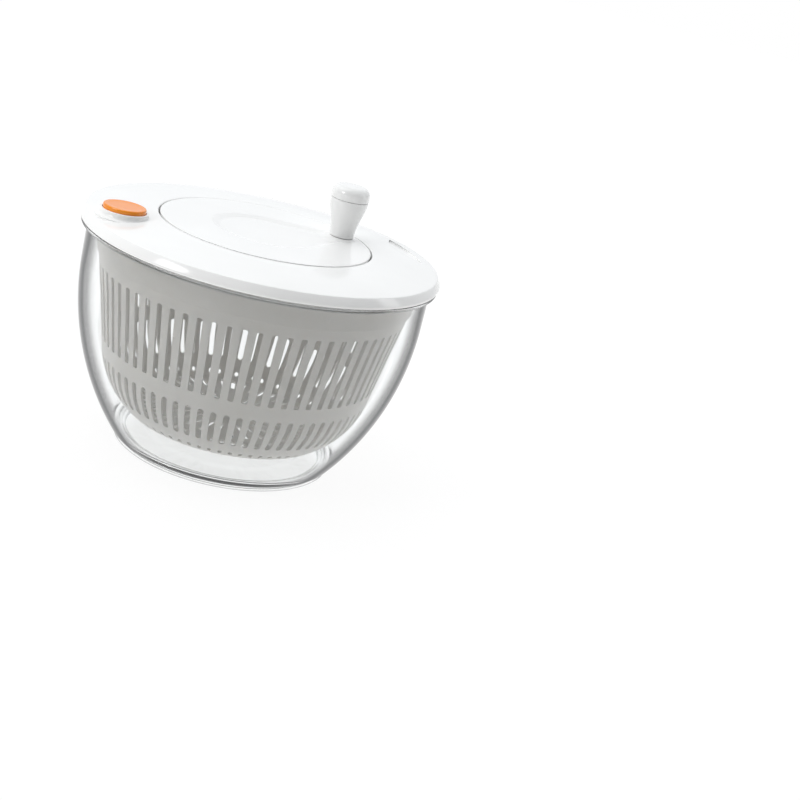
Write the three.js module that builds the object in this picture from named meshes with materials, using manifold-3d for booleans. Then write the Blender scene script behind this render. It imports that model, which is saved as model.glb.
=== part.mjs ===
// Salad spinner with a crank lid: a clear bowl, a slotted basket that spins in it, and a
// lid that holds the crank disc, its gears, the driving plate and a push-button brake.
// Millimetres, +Z up, origin at the centre of the foot. +X points from the brake to the recess.
import * as THREE from "three";
import { mergeVertices } from "three/addons/utils/BufferGeometryUtils.js";
import Module from "manifold-3d";

const wasm = await Module();
wasm.setup();

// ---------------------------------------------------------------- driving dimensions

// Clearances
const TOUCH = 0.3; // between pieces that rest on or sit in each other
const RUN = 0.4; // round a piece that turns or slides in another
const SWEEP = 1.0; // between pieces that pass each other while one turns

// Facets round the circle
const FACETS = 36;
const FINE_FACETS = 24;
const SMALL_FACETS = 16;
const SCREW_FACETS = 8;

// Bowl
const BOWL_RADIUS = 124.2; // outside, at its straight mouth
const BOWL_HEIGHT = 156.4; // top of the lip
const BOWL_WALL = 2.4;
const BOWL_CURVE = 200; // radius of the side's arc, seen in section
const BOWL_CURVE_TOP = 125; // height where the arc turns into the straight mouth
const BOWL_FLOOR = 3.6;
const LIP_WIDTH = 4.8; // how far the lip stands out
const LIP_RADIUS = BOWL_RADIUS + LIP_WIDTH;
const LIP_THICK = 3;
const BOSS_HEIGHT = 9; // the floor's centre boss, which holds the pin
const BOSS_RADIUS = 5.5;

// Foot ring
const FOOT_RADIUS = 81.5;
const FOOT_WIDTH = 7.5;
const FOOT_HEIGHT = 3.8;
const FOOT_RIB = 2.4; // width and height of the rib that keys it into the bowl

// Pin that the basket turns on
const PIN_RADIUS = 2;
const PIN_SUNK = 6; // length of the pin inside the boss

// Basket
const BASKET_BASE = 23; // underside of the basket's bottom
const BASKET_TOP = BOWL_HEIGHT - 4.6;
const BASKET_MOUTH_RADIUS = BOWL_RADIUS - 7.2;
const BASKET_RIM_RADIUS = BASKET_MOUTH_RADIUS + 2.6;
const BASKET_STEP = 1.2;
const BASKET_STEP_Z = BASKET_TOP - 15.8; // where the slotted cone meets the plain band
const BASKET_STEP_RADIUS = BASKET_MOUTH_RADIUS - 3.6;
const BASKET_SHOULDER_Z = 62; // where the round lower side runs into the cone
const BASKET_SHOULDER_RADIUS = BASKET_STEP_RADIUS - 13.5;
const BASKET_BASE_RADIUS = BASKET_SHOULDER_RADIUS - 24.9;
const BASKET_WALL = 1.8;
const SLOT_COUNT = 70;
const SLOT_WIDTH = 4.2;
const LONG_SLOT = [73.5, BASKET_STEP_Z - 8.3]; // lower and upper end of the long slots
const SHORT_SLOT = [37, 62.5];
const FLOOR_SLOTS = 14;
const FLOOR_SLOT_WIDTH = 4.5;
const FLOOR_SLOT = [26, 62]; // inner and outer end of the bottom's slots
const HUB_RADIUS = 9.5; // raised hub over the pin
const HUB_HEIGHT = 9;
const DRIVE_RIBS = 4; // ribs inside the mouth that the driving plate pushes
const RIB_WIDTH = 3;
const RIB_DEPTH = 3;
const RIB_HEIGHT = 9;

// Cap between pin and basket
const CAP_RADIUS = 5.2;
const CAP_FLANGE_RADIUS = 9;
const CAP_FLANGE = 1.6;
const CAP_HEIGHT = 7.5;

// Lid
const LID_RADIUS = LIP_RADIUS + 1;
const LID_EDGE_RADIUS = LID_RADIUS - 3; // where the top turns down into the side
const LID_EDGE_Z = BOWL_HEIGHT + 7.4;
const LID_TOP_Z = LID_EDGE_Z + 3.9; // top surface at the crank disc
const LID_WALL = 2.2;
const LID_DROP = 2.4; // height of the upper, steeper part of the lid's side
const LID_FOOT = 1.7; // height of its lower part
const LID_TURN = 0.5; // how far the foot is drawn in
const WELL_LEDGE_Z = BOWL_HEIGHT + 2.6; // top of the ledge at the well's foot
const WELL_LEDGE = 15.6; // width of that ledge
const SKIRT_CLEAR = 0.6; // between the lid's skirt and the bowl's mouth
const SKIRT_DEPTH = 3.4; // the skirt's reach below the lip's top

// Lid screws
const SCREW_COUNT = 4;
const SCREW_INSET = 7.5; // from the ledge's hole to the screws' centres
const SCREW_RADIUS = 1.3;
const SCREW_HEAD_RADIUS = 3;
const SCREW_HEAD = 1.4;
const SCREW_BOSS_RADIUS = 3.5;
const SCREW_BOSS_HEIGHT = 4.2;

// Gears
const MODULE = 1.6;
const PINION_TEETH = 21; // idlers and sun alike
const RING_TEETH = 3 * PINION_TEETH;
const IDLERS = 3;
const BACKLASH = 0.35;
const GEAR_HEIGHT = 5.5;
const RING_WALL = 3.2;
const RING_ROOM = 6.4; // round the ring gear, inside the ledge's hole
const RING_LUG_RADIUS = 3.6;
const RING_SCREWS = 3;
const RING_SCREW_RADIUS = 1.1;
const RING_SCREW_HEAD_RADIUS = 2.4;
const RING_SCREW_HEAD = 1.3;
const IDLER_PIN_RADIUS = 2;

// Gear housing
const HOUSING_WALL = 2;
const HOUSING_DEPTH = 5; // from the ledge's underside to the floor

// Driving plate
const PLATE_THICK = 2.2;
const PLATE_CLEAR = 1.6; // round the plate, inside the basket's mouth
const PLATE_HOLES = 6;
const PLATE_HOLE_RADIUS = 12;
const PLATE_HOLE_CIRCLE = 68;
const HEX_RADIUS = 6.2; // corner radius of the hub's driving hexagon
const HEX_LENGTH = 4.5;
const HUB_SHAFT_RADIUS = 7.5;
const BUSH_WALL = 1.8;
const BUSH_FLANGE = 2;

// Axle on the crank's centre line
const AXLE_RADIUS = 3;
const WASHER_RADIUS = 9;
const WASHER_THICK = 1;
const CLIP_RADIUS = 6;
const CLIP_THICK = 1.4;

// Crank disc
const DISC_GROOVE = 1.3; // the ring-shaped gap between disc and lid
const DISC_PROUD = 0.3; // how far the disc stands above the lid
const DISC_THICK = 2.6;
const DISC_SKIRT = 3.2;
const DISC_SKIRT_WALL = 2;
const DISC_SKIN = 1.2; // left over the ends of the bores from below
const DISC_PAD = 1.4; // height of the pads for the ring gear's screws
const DISH_RADIUS = 39.8; // the drop-shaped dish's round end
const DISH_DEPTH = 1.3;
const DISH_SLOPE = 6; // width of the dish's sloping edge
const DISC_BOSS_RADIUS = 8;
const CRANK_REST = 6; // degrees that the knob stands past +X

// Knob
const KNOB_INSET = 14.3; // from the disc's edge to the knob's centre
const KNOB_FOOT_RADIUS = 9.1;
const KNOB_RADIUS = 14;
const KNOB_BODY_HEIGHT = 28.6; // from the pedestal to the seam between body and cap
const KNOB_CAP_HEIGHT = 10;
const KNOB_CROWN = 0.4; // rise of the cap's top
const PEDESTAL_FLARE = 9; // how much wider the pedestal is at its foot
const PEDESTAL_HEIGHT = 0.9;
const KNOB_PIN_RADIUS = 3;
const KNOB_PIN_HEAD_RADIUS = 4.4;
const KNOB_PIN_HEAD = 1.8;
const KNOB_POCKET_RADIUS = 8; // room for washer and nut under the cap
const KNOB_POCKET = 9;
const KNOB_NUT_RADIUS = 5;
const KNOB_NUT = 3;

// Brake button
const BRAKE_INSET = 22; // from the lid's edge to the button's centre
const BUTTON_RADIUS = 14.7;
const BUTTON_TOP = LID_EDGE_Z + 9.2;
const BUTTON_WALL = 1.8;
const COLLAR_TOP = BUTTON_TOP - 2.8;
const COLLAR_WALL = 1.6;
const COLLAR_FLARE = 2.6; // how much wider the collar is at its foot
const BRAKE_FLOOR_Z = LID_EDGE_Z - 0.6; // top of the floor under the button
const BRAKE_TRAVEL = 3;
const STEM_RADIUS = 2.8;
const GUIDE_WALL = 1.8;
const SHOE_RADIUS = 8;
const SHOE_THICK = 2.4;
const SHOE_SOCKET = 1.2; // how deep the stem sits in the shoe
const SPRING_WIRE = 0.9;
const SPRING_TURNS = 4;

// Lens-shaped recess in the lid
const LENS_OUTER_RADIUS = LID_EDGE_RADIUS - 9.5;
const LENS_INNER_RADIUS = LENS_OUTER_RADIUS - 13; // nearest point to the centre
const LENS_HALF_ANGLE = 14;
const LENS_DEPTH = 1.2;
const LENS_FLOOR = 1.4;

// ---------------------------------------------------------------- worked-out places

const LID_SEAT = BOWL_HEIGHT + TOUCH;
const LEDGE_UNDER = WELL_LEDGE_Z - LID_WALL;
const FLANGE_TOP = LEDGE_UNDER - TOUCH;
const FLANGE_UNDER = FLANGE_TOP - HOUSING_WALL;
const HOUSING_FLOOR_TOP = LEDGE_UNDER - HOUSING_DEPTH + HOUSING_WALL;
const HOUSING_FLOOR_UNDER = HOUSING_FLOOR_TOP - HOUSING_WALL;
const PITCH_RADIUS = (MODULE * PINION_TEETH) / 2;
const RING_PITCH_RADIUS = (MODULE * RING_TEETH) / 2;
const IDLER_CIRCLE = 2 * PITCH_RADIUS;
const RING_OUTER = RING_PITCH_RADIUS + 1.25 * MODULE + RING_WALL;
const WELL_HOLE_RADIUS = RING_OUTER + RING_ROOM;
const WELL_RADIUS = WELL_HOLE_RADIUS + WELL_LEDGE; // round well that holds the crank disc
const SCREW_CIRCLE = WELL_HOLE_RADIUS + SCREW_INSET;
const GEAR_UNDER = HOUSING_FLOOR_TOP + SWEEP;
const GEAR_TOP = GEAR_UNDER + GEAR_HEIGHT;
const PLATE_TOP = HOUSING_FLOOR_UNDER - SWEEP - RUN;
const PLATE_UNDER = PLATE_TOP - PLATE_THICK;
const DISC_TOP = LID_TOP_Z + DISC_PROUD;
const DISC_UNDER = DISC_TOP - DISC_THICK;
const DISC_RADIUS = WELL_RADIUS - DISC_GROOVE;
const DISH_FLOOR = DISC_TOP - DISH_DEPTH;
const KNOB_CIRCLE = DISC_RADIUS - KNOB_INSET;
const PEDESTAL_TOP = DISC_TOP + PEDESTAL_HEIGHT;
const KNOB_SEAM_Z = PEDESTAL_TOP + KNOB_BODY_HEIGHT;
const KNOB_TOP = KNOB_SEAM_Z + KNOB_CAP_HEIGHT;
const BRAKE_CIRCLE = LID_EDGE_RADIUS - BRAKE_INSET;
const BRAKE_FLOOR_UNDER = BRAKE_FLOOR_Z - LID_WALL;
const BUTTON_SKIRT = BUTTON_TOP - BRAKE_FLOOR_Z - BRAKE_TRAVEL - RUN;
const SHOE_UNDER = PLATE_TOP + BRAKE_TRAVEL + TOUCH; // stops just clear of the plate
const SHOE_TOP = SHOE_UNDER + SHOE_THICK;
const GUIDE_LENGTH = BRAKE_FLOOR_UNDER - SHOE_TOP - TOUCH;
const BOSS_TOP = FOOT_HEIGHT + TOUCH + BOWL_FLOOR + BOSS_HEIGHT;

// ---------------------------------------------------------------- geometry helpers

const radians = (degrees) => (degrees * Math.PI) / 180;
const polar = (radius, degrees) => [
  radius * Math.cos(radians(degrees)),
  radius * Math.sin(radians(degrees)),
];

// A closed geometry as a solid: shared corners merged, flat triangles dropped.
function solidOf(geometry) {
  const bare = geometry.clone();
  bare.deleteAttribute("normal");
  bare.deleteAttribute("uv");
  const merged = mergeVertices(bare, 1e-4);
  const corners = [...merged.index.array];
  const kept = [];
  for (let i = 0; i < corners.length; i += 3) {
    const [a, b, c] = corners.slice(i, i + 3);
    if (a !== b && b !== c && c !== a) kept.push(a, b, c);
  }
  return new wasm.Manifold(
    new wasm.Mesh({
      numProp: 3,
      vertProperties: new Float32Array(merged.attributes.position.array),
      triVerts: new Uint32Array(kept),
    }),
  );
}

// A solid of revolution from a closed section of [radius, height] points.
function revolve(section, facets = FACETS) {
  const points = section.map(([r, z]) => new THREE.Vector2(Math.max(r, 0), z));
  if (THREE.ShapeUtils.area(points) < 0) points.reverse();
  points.push(points[0].clone());
  return solidOf(new THREE.LatheGeometry(points, facets).rotateX(Math.PI / 2));
}

// A round bar or, with a hole, a tube between two heights.
function tube(radius, low, high, hole = 0, facets = SMALL_FACETS) {
  return revolve(
    [
      [hole, low],
      [radius, low],
      [radius, high],
      [hole, high],
    ],
    facets,
  );
}

// A flat outline raised from one height to another.
function prism(shape, low, high, curveSegments = 8) {
  const raised = { depth: high - low, bevelEnabled: false, curveSegments };
  return solidOf(new THREE.ExtrudeGeometry(shape, raised).translate(0, 0, low));
}

// A box that stands out from the axis: from one radius to another, turned to an angle.
function spoke(inner, outer, width, low, high, degrees) {
  const block = new THREE.BoxGeometry(outer - inner, width, high - low);
  block.translate((inner + outer) / 2, 0, (low + high) / 2);
  return solidOf(block.rotateZ(radians(degrees)));
}

// Heights and radii along an arc of the section, ends included.
function arc(centreR, centreZ, radius, from, to, steps) {
  return Array.from({ length: steps + 1 }, (_, i) => {
    const angle = radians(from + ((to - from) * i) / steps);
    return [centreR + radius * Math.cos(angle), centreZ + radius * Math.sin(angle)];
  });
}

const move = (solid, x, y, z = 0) => solid.translate([x, y, z]);
const around = (count, first = 0) =>
  Array.from({ length: count }, (_, i) => first + (360 * i) / count);

// ---------------------------------------------------------------- materials

const finish = (color, roughness, metalness = 0, opacity = 1) =>
  new THREE.MeshStandardMaterial({
    color,
    roughness,
    metalness,
    opacity,
    transparent: opacity < 1,
  });
const CLEAR = () => finish(0xf2f6f7, 0.05, 0, 0.3);
const CLEAR_RUBBER = () => finish(0xe3e6e6, 0.5, 0, 0.6);
const MILKY = () => finish(0xdfdfdd, 0.4);
const WHITE = () => finish(0xf6f6f6, 0.18);
const ACETAL = () => finish(0xefece2, 0.45);
const ORANGE = () => finish(0xf7941d, 0.3);
const STEEL = () => finish(0xb9bcc0, 0.3, 1);
const GREY_RUBBER = () => finish(0x55585a, 0.8);

const spinner = new THREE.Group();

// Turns a solid into a named mesh of the spinner. Corners closer than SLIVER become one.
const SLIVER = 0.01;
function piece(name, solid, material, parent = spinner) {
  const { vertProperties, triVerts } = solid.simplify(SLIVER).getMesh();
  const geometry = new THREE.BufferGeometry();
  geometry.setAttribute("position", new THREE.BufferAttribute(vertProperties, 3));
  geometry.setIndex(new THREE.BufferAttribute(triVerts, 1));
  geometry.computeVertexNormals();
  const mesh = new THREE.Mesh(geometry, material);
  mesh.name = name;
  parent.add(mesh);
  return mesh;
}

// ---------------------------------------------------------------- bowl

// Radius of the bowl's side at a height, for a wall that lies inset from the outside.
const BOWL_BASE = FOOT_HEIGHT + TOUCH;
function bowlSide(inset, low, steps) {
  const centre = BOWL_RADIUS - BOWL_CURVE;
  const radius = BOWL_CURVE - inset;
  const start = (Math.asin((low - BOWL_CURVE_TOP) / radius) * 180) / Math.PI;
  return arc(centre, BOWL_CURVE_TOP, radius, start, 0, steps);
}

function bowl() {
  const floorTop = BOWL_BASE + BOWL_FLOOR;
  const inner = BOWL_RADIUS - BOWL_WALL;
  const body = revolve([
    [0, BOWL_BASE],
    ...bowlSide(0, BOWL_BASE, 5),
    [BOWL_RADIUS, BOWL_HEIGHT - LIP_THICK],
    [LIP_RADIUS, BOWL_HEIGHT - LIP_THICK],
    [LIP_RADIUS, BOWL_HEIGHT],
    [inner, BOWL_HEIGHT],
    ...bowlSide(BOWL_WALL, floorTop, 5).reverse(),
    [BOSS_RADIUS + 3, floorTop],
    [BOSS_RADIUS, floorTop + BOSS_HEIGHT / 2],
    [BOSS_RADIUS, BOSS_TOP],
    [0, BOSS_TOP],
  ]);
  const ribMiddle = FOOT_RADIUS - FOOT_WIDTH / 2;
  const groove = tube(
    ribMiddle + FOOT_RIB / 2 + TOUCH,
    BOWL_BASE - 1,
    BOWL_BASE + FOOT_RIB,
    ribMiddle - FOOT_RIB / 2 - TOUCH,
    FACETS,
  );
  const bore = tube(PIN_RADIUS + TOUCH, BOSS_TOP - PIN_SUNK - TOUCH, BOSS_TOP + 1);
  return body.subtract(groove).subtract(bore);
}
piece("bowl", bowl(), CLEAR());

function footRing() {
  const inner = FOOT_RADIUS - FOOT_WIDTH;
  const ribMiddle = FOOT_RADIUS - FOOT_WIDTH / 2;
  const ribTop = BOWL_BASE + FOOT_RIB - TOUCH;
  return revolve([
    [inner, 0],
    [FOOT_RADIUS, 0],
    [FOOT_RADIUS, FOOT_HEIGHT],
    [ribMiddle + FOOT_RIB / 2, FOOT_HEIGHT],
    [ribMiddle + FOOT_RIB / 2, ribTop],
    [ribMiddle - FOOT_RIB / 2, ribTop],
    [ribMiddle - FOOT_RIB / 2, FOOT_HEIGHT],
    [inner, FOOT_HEIGHT],
  ]);
}
piece("foot_ring", footRing(), CLEAR_RUBBER());

// The cap turns on the pin's rounded end.
const CAP_BORE_TOP = BASKET_BASE + CAP_HEIGHT - 2;
const PIN_TOP = CAP_BORE_TOP - TOUCH;
function pivotPin() {
  const low = BOSS_TOP - PIN_SUNK;
  return revolve(
    [
      [0, low],
      [PIN_RADIUS, low],
      ...arc(0, PIN_TOP - PIN_RADIUS, PIN_RADIUS, 0, 90, 3),
    ],
    SMALL_FACETS,
  );
}
piece("pivot_pin", pivotPin(), STEEL());

// ---------------------------------------------------------------- basket

function spindleCap() {
  const flangeLow = BASKET_BASE - TOUCH - CAP_FLANGE;
  const outside = revolve(
    [
      [0, flangeLow],
      [CAP_FLANGE_RADIUS, flangeLow],
      [CAP_FLANGE_RADIUS, BASKET_BASE - TOUCH],
      [CAP_RADIUS, BASKET_BASE - TOUCH],
      [CAP_RADIUS, BASKET_BASE + CAP_HEIGHT],
      [0, BASKET_BASE + CAP_HEIGHT],
    ],
    SMALL_FACETS,
  );
  return outside.subtract(tube(PIN_RADIUS + RUN, flangeLow - 1, CAP_BORE_TOP));
}
piece("spindle_cap", spindleCap(), ACETAL());

// The basket's outside from its base to its mouth; inset gives its inner wall.
// Its lower part is an arc that leaves the base at a corner and runs into the cone.
const BASKET_CURVE_STEPS = 3;
function basketSide(inset) {
  const out = BASKET_SHOULDER_RADIUS - BASKET_BASE_RADIUS;
  const up = BASKET_SHOULDER_Z - BASKET_BASE;
  const coneOut = BASKET_STEP_RADIUS - BASKET_SHOULDER_RADIUS;
  const lean = Math.atan2(coneOut, BASKET_STEP_Z - BASKET_SHOULDER_Z);
  const slack = 2 * (out * Math.cos(lean) - up * Math.sin(lean));
  const radius = (out * out + up * up) / slack;
  const centreR = BASKET_SHOULDER_RADIUS - radius * Math.cos(lean);
  const centreZ = BASKET_SHOULDER_Z + radius * Math.sin(lean);
  const leanDegrees = (lean * 180) / Math.PI;
  const drop = (centreZ - BASKET_BASE - inset) / (radius - inset);
  const start = (-Math.asin(drop) * 180) / Math.PI;
  return [
    ...arc(centreR, centreZ, radius - inset, start, -leanDegrees, BASKET_CURVE_STEPS),
    [BASKET_STEP_RADIUS - inset, BASKET_STEP_Z],
  ];
}

function basket() {
  const floorTop = BASKET_BASE + BASKET_WALL;
  const hubTop = BASKET_BASE + HUB_HEIGHT + BASKET_WALL;
  let shell = revolve(
    [
      [0, BASKET_BASE],
      ...basketSide(0),
      [BASKET_STEP_RADIUS + BASKET_STEP, BASKET_STEP_Z],
      [BASKET_MOUTH_RADIUS, BASKET_TOP - BASKET_WALL],
      [BASKET_RIM_RADIUS, BASKET_TOP - BASKET_WALL],
      [BASKET_RIM_RADIUS, BASKET_TOP],
      [BASKET_MOUTH_RADIUS - BASKET_WALL, BASKET_TOP],
      ...basketSide(BASKET_WALL).reverse(),
      [0, floorTop],
    ],
    SLOT_COUNT,
  );
  const hub = revolve(
    [
      [0, BASKET_BASE + BASKET_WALL / 2],
      [HUB_RADIUS + 3, BASKET_BASE + BASKET_WALL / 2],
      [HUB_RADIUS + 3, floorTop],
      [HUB_RADIUS, hubTop],
      [0, hubTop],
    ],
    FINE_FACETS,
  );
  const socketTop = BASKET_BASE + CAP_HEIGHT + TOUCH;
  shell = shell.add(hub).subtract(tube(CAP_RADIUS + TOUCH, BASKET_BASE - 1, socketTop));
  const wallReach = [BASKET_BASE_RADIUS, BASKET_RIM_RADIUS + 1];
  for (const degrees of around(SLOT_COUNT)) {
    shell = shell.subtract(spoke(...wallReach, SLOT_WIDTH, ...LONG_SLOT, degrees));
    shell = shell.subtract(spoke(...wallReach, SLOT_WIDTH, ...SHORT_SLOT, degrees));
  }
  const floorReach = [BASKET_BASE - 1, floorTop + 1];
  for (const degrees of around(FLOOR_SLOTS)) {
    shell = shell.subtract(spoke(...FLOOR_SLOT, FLOOR_SLOT_WIDTH, ...floorReach, degrees));
  }
  const ribLow = BASKET_TOP - RIB_HEIGHT - TOUCH;
  const ribInner = BASKET_MOUTH_RADIUS - BASKET_WALL - RIB_DEPTH;
  const ribOuter = BASKET_MOUTH_RADIUS - BASKET_WALL / 2;
  for (const degrees of around(DRIVE_RIBS, 180 / SLOT_COUNT)) {
    const high = BASKET_TOP - TOUCH;
    shell = shell.add(spoke(ribInner, ribOuter, RIB_WIDTH, ribLow, high, degrees));
  }
  return shell;
}
piece("basket", basket(), MILKY());

// ---------------------------------------------------------------- lid

// A lens between the arc round the lid's centre and a flatter arc that bulges inwards.
function lensOutline(grow) {
  const outer = LENS_OUTER_RADIUS + grow;
  const half = radians(LENS_HALF_ANGLE) + grow / LENS_OUTER_RADIUS;
  const endX = outer * Math.cos(half);
  const endY = outer * Math.sin(half);
  const sagitta = endX - (LENS_INNER_RADIUS - grow);
  const radius = (endY * endY + sagitta * sagitta) / (2 * sagitta);
  const centreX = LENS_INNER_RADIUS - grow + radius;
  const spread = Math.atan2(endY, centreX - endX);
  const outline = new THREE.Shape();
  outline.absarc(0, 0, outer, -half, half, false);
  outline.absarc(centreX, 0, radius, Math.PI - spread, Math.PI + spread, false);
  return outline;
}

// Height of the lid's top surface at a radius.
function lidTop(radius) {
  const share = (radius - WELL_RADIUS) / (LID_EDGE_RADIUS - WELL_RADIUS);
  return LID_TOP_Z + (LID_EDGE_Z - LID_TOP_Z) * share * share;
}

const EDGE_EASE = 1.4; // width of the flat that eases the lid's edge
function lidShell() {
  const top = [0, 0.5, 1].map((share) => {
    const radius = WELL_RADIUS + share * (LID_EDGE_RADIUS - EDGE_EASE - WELL_RADIUS);
    return [radius, lidTop(radius)];
  });
  const skirtOuter = BOWL_RADIUS - BOWL_WALL - SKIRT_CLEAR;
  const skirtInner = skirtOuter - LID_WALL;
  const skirtLow = BOWL_HEIGHT - SKIRT_DEPTH;
  const wellOuter = WELL_RADIUS + LID_WALL;
  const ceiling = [skirtInner, (skirtInner + wellOuter) / 2, wellOuter];
  let shell = revolve([
    [WELL_HOLE_RADIUS, LEDGE_UNDER],
    [WELL_HOLE_RADIUS, WELL_LEDGE_Z],
    [WELL_RADIUS, WELL_LEDGE_Z],
    ...top,
    [LID_EDGE_RADIUS, LID_EDGE_Z],
    [LID_EDGE_RADIUS + 0.95 * LID_DROP, LID_EDGE_Z - LID_DROP],
    [LID_RADIUS, LID_SEAT + LID_FOOT],
    [LID_RADIUS - LID_TURN, LID_SEAT],
    [LID_RADIUS - LID_TURN - LID_WALL, LID_SEAT],
    [LID_RADIUS - LID_TURN - LID_WALL, LID_EDGE_Z - LID_WALL - 1],
    [skirtOuter, lidTop(skirtOuter) - LID_WALL],
    [skirtOuter, skirtLow],
    [skirtInner, skirtLow],
    ...ceiling.map((radius) => [radius, lidTop(radius) - LID_WALL]),
    [wellOuter, LEDGE_UNDER],
  ]);
  for (const degrees of around(SCREW_COUNT, 45)) {
    const [x, y] = polar(SCREW_CIRCLE, degrees);
    const bossTop = WELL_LEDGE_Z + SCREW_BOSS_HEIGHT;
    shell = shell.add(move(tube(SCREW_BOSS_RADIUS, WELL_LEDGE_Z - 1, bossTop, 0, 12), x, y));
    const bore = tube(SCREW_RADIUS + TOUCH, LEDGE_UNDER - 1, bossTop - 1, 0, SCREW_FACETS);
    shell = shell.subtract(move(bore, x, y));
  }
  return shell.add(brakeCollar()).subtract(brakeWell()).add(brakeFloor()).subtract(stemBore());
}

// The flared collar round the brake button, and the guided floor under it.
const COLLAR_RADIUS = BUTTON_RADIUS + RUN + COLLAR_WALL;
const GUIDE_RADIUS = STEM_RADIUS + RUN + GUIDE_WALL;
function brakeCollar() {
  const foot = lidTop(BRAKE_CIRCLE) - 1;
  const collar = revolve(
    [
      [0, BRAKE_FLOOR_UNDER],
      [COLLAR_RADIUS, BRAKE_FLOOR_UNDER],
      [COLLAR_RADIUS + COLLAR_FLARE, foot],
      [COLLAR_RADIUS + COLLAR_FLARE / 4, foot + 3],
      [COLLAR_RADIUS, COLLAR_TOP - 0.6],
      [COLLAR_RADIUS - 0.5, COLLAR_TOP],
      [0, COLLAR_TOP],
    ],
    FINE_FACETS,
  );
  return move(collar, -BRAKE_CIRCLE, 0);
}
function brakeWell() {
  const well = tube(BUTTON_RADIUS + RUN, BRAKE_FLOOR_Z, COLLAR_TOP + 1, 0, FINE_FACETS);
  return move(well, -BRAKE_CIRCLE, 0);
}
function brakeFloor() {
  const low = BRAKE_FLOOR_UNDER - GUIDE_LENGTH;
  return move(tube(GUIDE_RADIUS, low, BRAKE_FLOOR_UNDER + 1), -BRAKE_CIRCLE, 0);
}
function stemBore() {
  const low = BRAKE_FLOOR_UNDER - GUIDE_LENGTH - 1;
  return move(tube(STEM_RADIUS + RUN, low, BRAKE_FLOOR_Z + 1), -BRAKE_CIRCLE, 0);
}

// A lens-shaped pan let into the lid's far side.
function withRecess(shell) {
  const edge = lidTop(LENS_OUTER_RADIUS);
  const panFloor = edge - LENS_DEPTH;
  const pan = prism(lensOutline(LID_WALL), panFloor - LENS_FLOOR, edge - LID_WALL / 4, 10);
  const hollow = prism(lensOutline(0), panFloor, LID_TOP_Z + 1, 10);
  return shell.add(pan).subtract(hollow);
}
piece("lid_shell", withRecess(lidShell()), WHITE());

// ---------------------------------------------------------------- gear housing

const HOUSING_RADIUS = WELL_HOLE_RADIUS - TOUCH; // outside of its round wall
function gearHousing() {
  let housing = revolve([
    [HUB_SHAFT_RADIUS + RUN + BUSH_WALL + TOUCH, HOUSING_FLOOR_UNDER],
    [HOUSING_RADIUS, HOUSING_FLOOR_UNDER],
    [HOUSING_RADIUS, FLANGE_UNDER],
    [WELL_RADIUS - 1, FLANGE_UNDER],
    [WELL_RADIUS - 1, FLANGE_TOP],
    [HOUSING_RADIUS - HOUSING_WALL, FLANGE_TOP],
    [HOUSING_RADIUS - HOUSING_WALL, HOUSING_FLOOR_TOP],
    [HUB_SHAFT_RADIUS + RUN + BUSH_WALL + TOUCH, HOUSING_FLOOR_TOP],
  ]);
  for (const degrees of around(SCREW_COUNT, 45)) {
    const hole = tube(SCREW_RADIUS + TOUCH, FLANGE_UNDER - 1, FLANGE_TOP + 1, 0, SCREW_FACETS);
    housing = housing.subtract(move(hole, ...polar(SCREW_CIRCLE, degrees)));
  }
  for (const degrees of around(IDLERS)) {
    const place = polar(IDLER_CIRCLE, degrees);
    const seat = HOUSING_FLOOR_TOP + SWEEP - TOUCH;
    housing = housing.add(move(tube(4, HOUSING_FLOOR_TOP - 1, seat, 0, 12), ...place));
    const hole = tube(IDLER_PIN_RADIUS + TOUCH, HOUSING_FLOOR_UNDER - 1, seat + 1, 0, 12);
    housing = housing.subtract(move(hole, ...place));
  }
  return housing;
}
piece("gear_housing", gearHousing(), WHITE());

around(SCREW_COUNT, 45).forEach((degrees, i) => {
  const seat = FLANGE_UNDER - TOUCH;
  const screw = revolve(
    [
      [0, seat - SCREW_HEAD],
      [SCREW_HEAD_RADIUS, seat - SCREW_HEAD],
      [SCREW_HEAD_RADIUS, seat],
      [SCREW_RADIUS, seat],
      [SCREW_RADIUS, WELL_LEDGE_Z + SCREW_BOSS_HEIGHT - 1 - TOUCH],
      [0, WELL_LEDGE_Z + SCREW_BOSS_HEIGHT - 1 - TOUCH],
    ],
    SCREW_FACETS,
  );
  piece(`housing_screw_${i + 1}`, move(screw, ...polar(SCREW_CIRCLE, degrees)), STEEL());
});

function centreBush() {
  const inner = HUB_SHAFT_RADIUS + RUN;
  return revolve(
    [
      [inner, HOUSING_FLOOR_UNDER - TOUCH - 0.8],
      [inner + BUSH_WALL + BUSH_FLANGE, HOUSING_FLOOR_UNDER - TOUCH - 0.8],
      [inner + BUSH_WALL + BUSH_FLANGE, HOUSING_FLOOR_UNDER - TOUCH],
      [inner + BUSH_WALL, HOUSING_FLOOR_UNDER - TOUCH],
      [inner + BUSH_WALL, HOUSING_FLOOR_TOP],
      [inner, HOUSING_FLOOR_TOP],
    ],
    FINE_FACETS,
  );
}
piece("centre_bush", centreBush(), ACETAL());

// ---------------------------------------------------------------- gears

// A toothed outline: straight-flanked teeth, each thinned by half the backlash,
// with one tooth on +X. A ring gear's cut-out uses it with wider teeth.
function toothed(teeth, thicken, tip, root) {
  const pitch = (MODULE * teeth) / 2;
  const outline = new THREE.Shape();
  const halfAtPitch = (Math.PI * MODULE) / 4 + thicken;
  const slope = Math.tan(radians(20));
  const corners = [];
  for (const degrees of around(teeth)) {
    const at = (radius, side) => {
      const half = halfAtPitch - (radius - pitch) * slope;
      corners.push(polar(radius, degrees + (side * half * 180) / (Math.PI * radius)));
    };
    at(pitch - root, -1);
    at(pitch + tip, -1);
    at(pitch + tip, 1);
    at(pitch - root, 1);
  }
  corners.forEach(([x, y], i) => (i ? outline.lineTo(x, y) : outline.moveTo(x, y)));
  outline.closePath();
  return outline;
}

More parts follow.
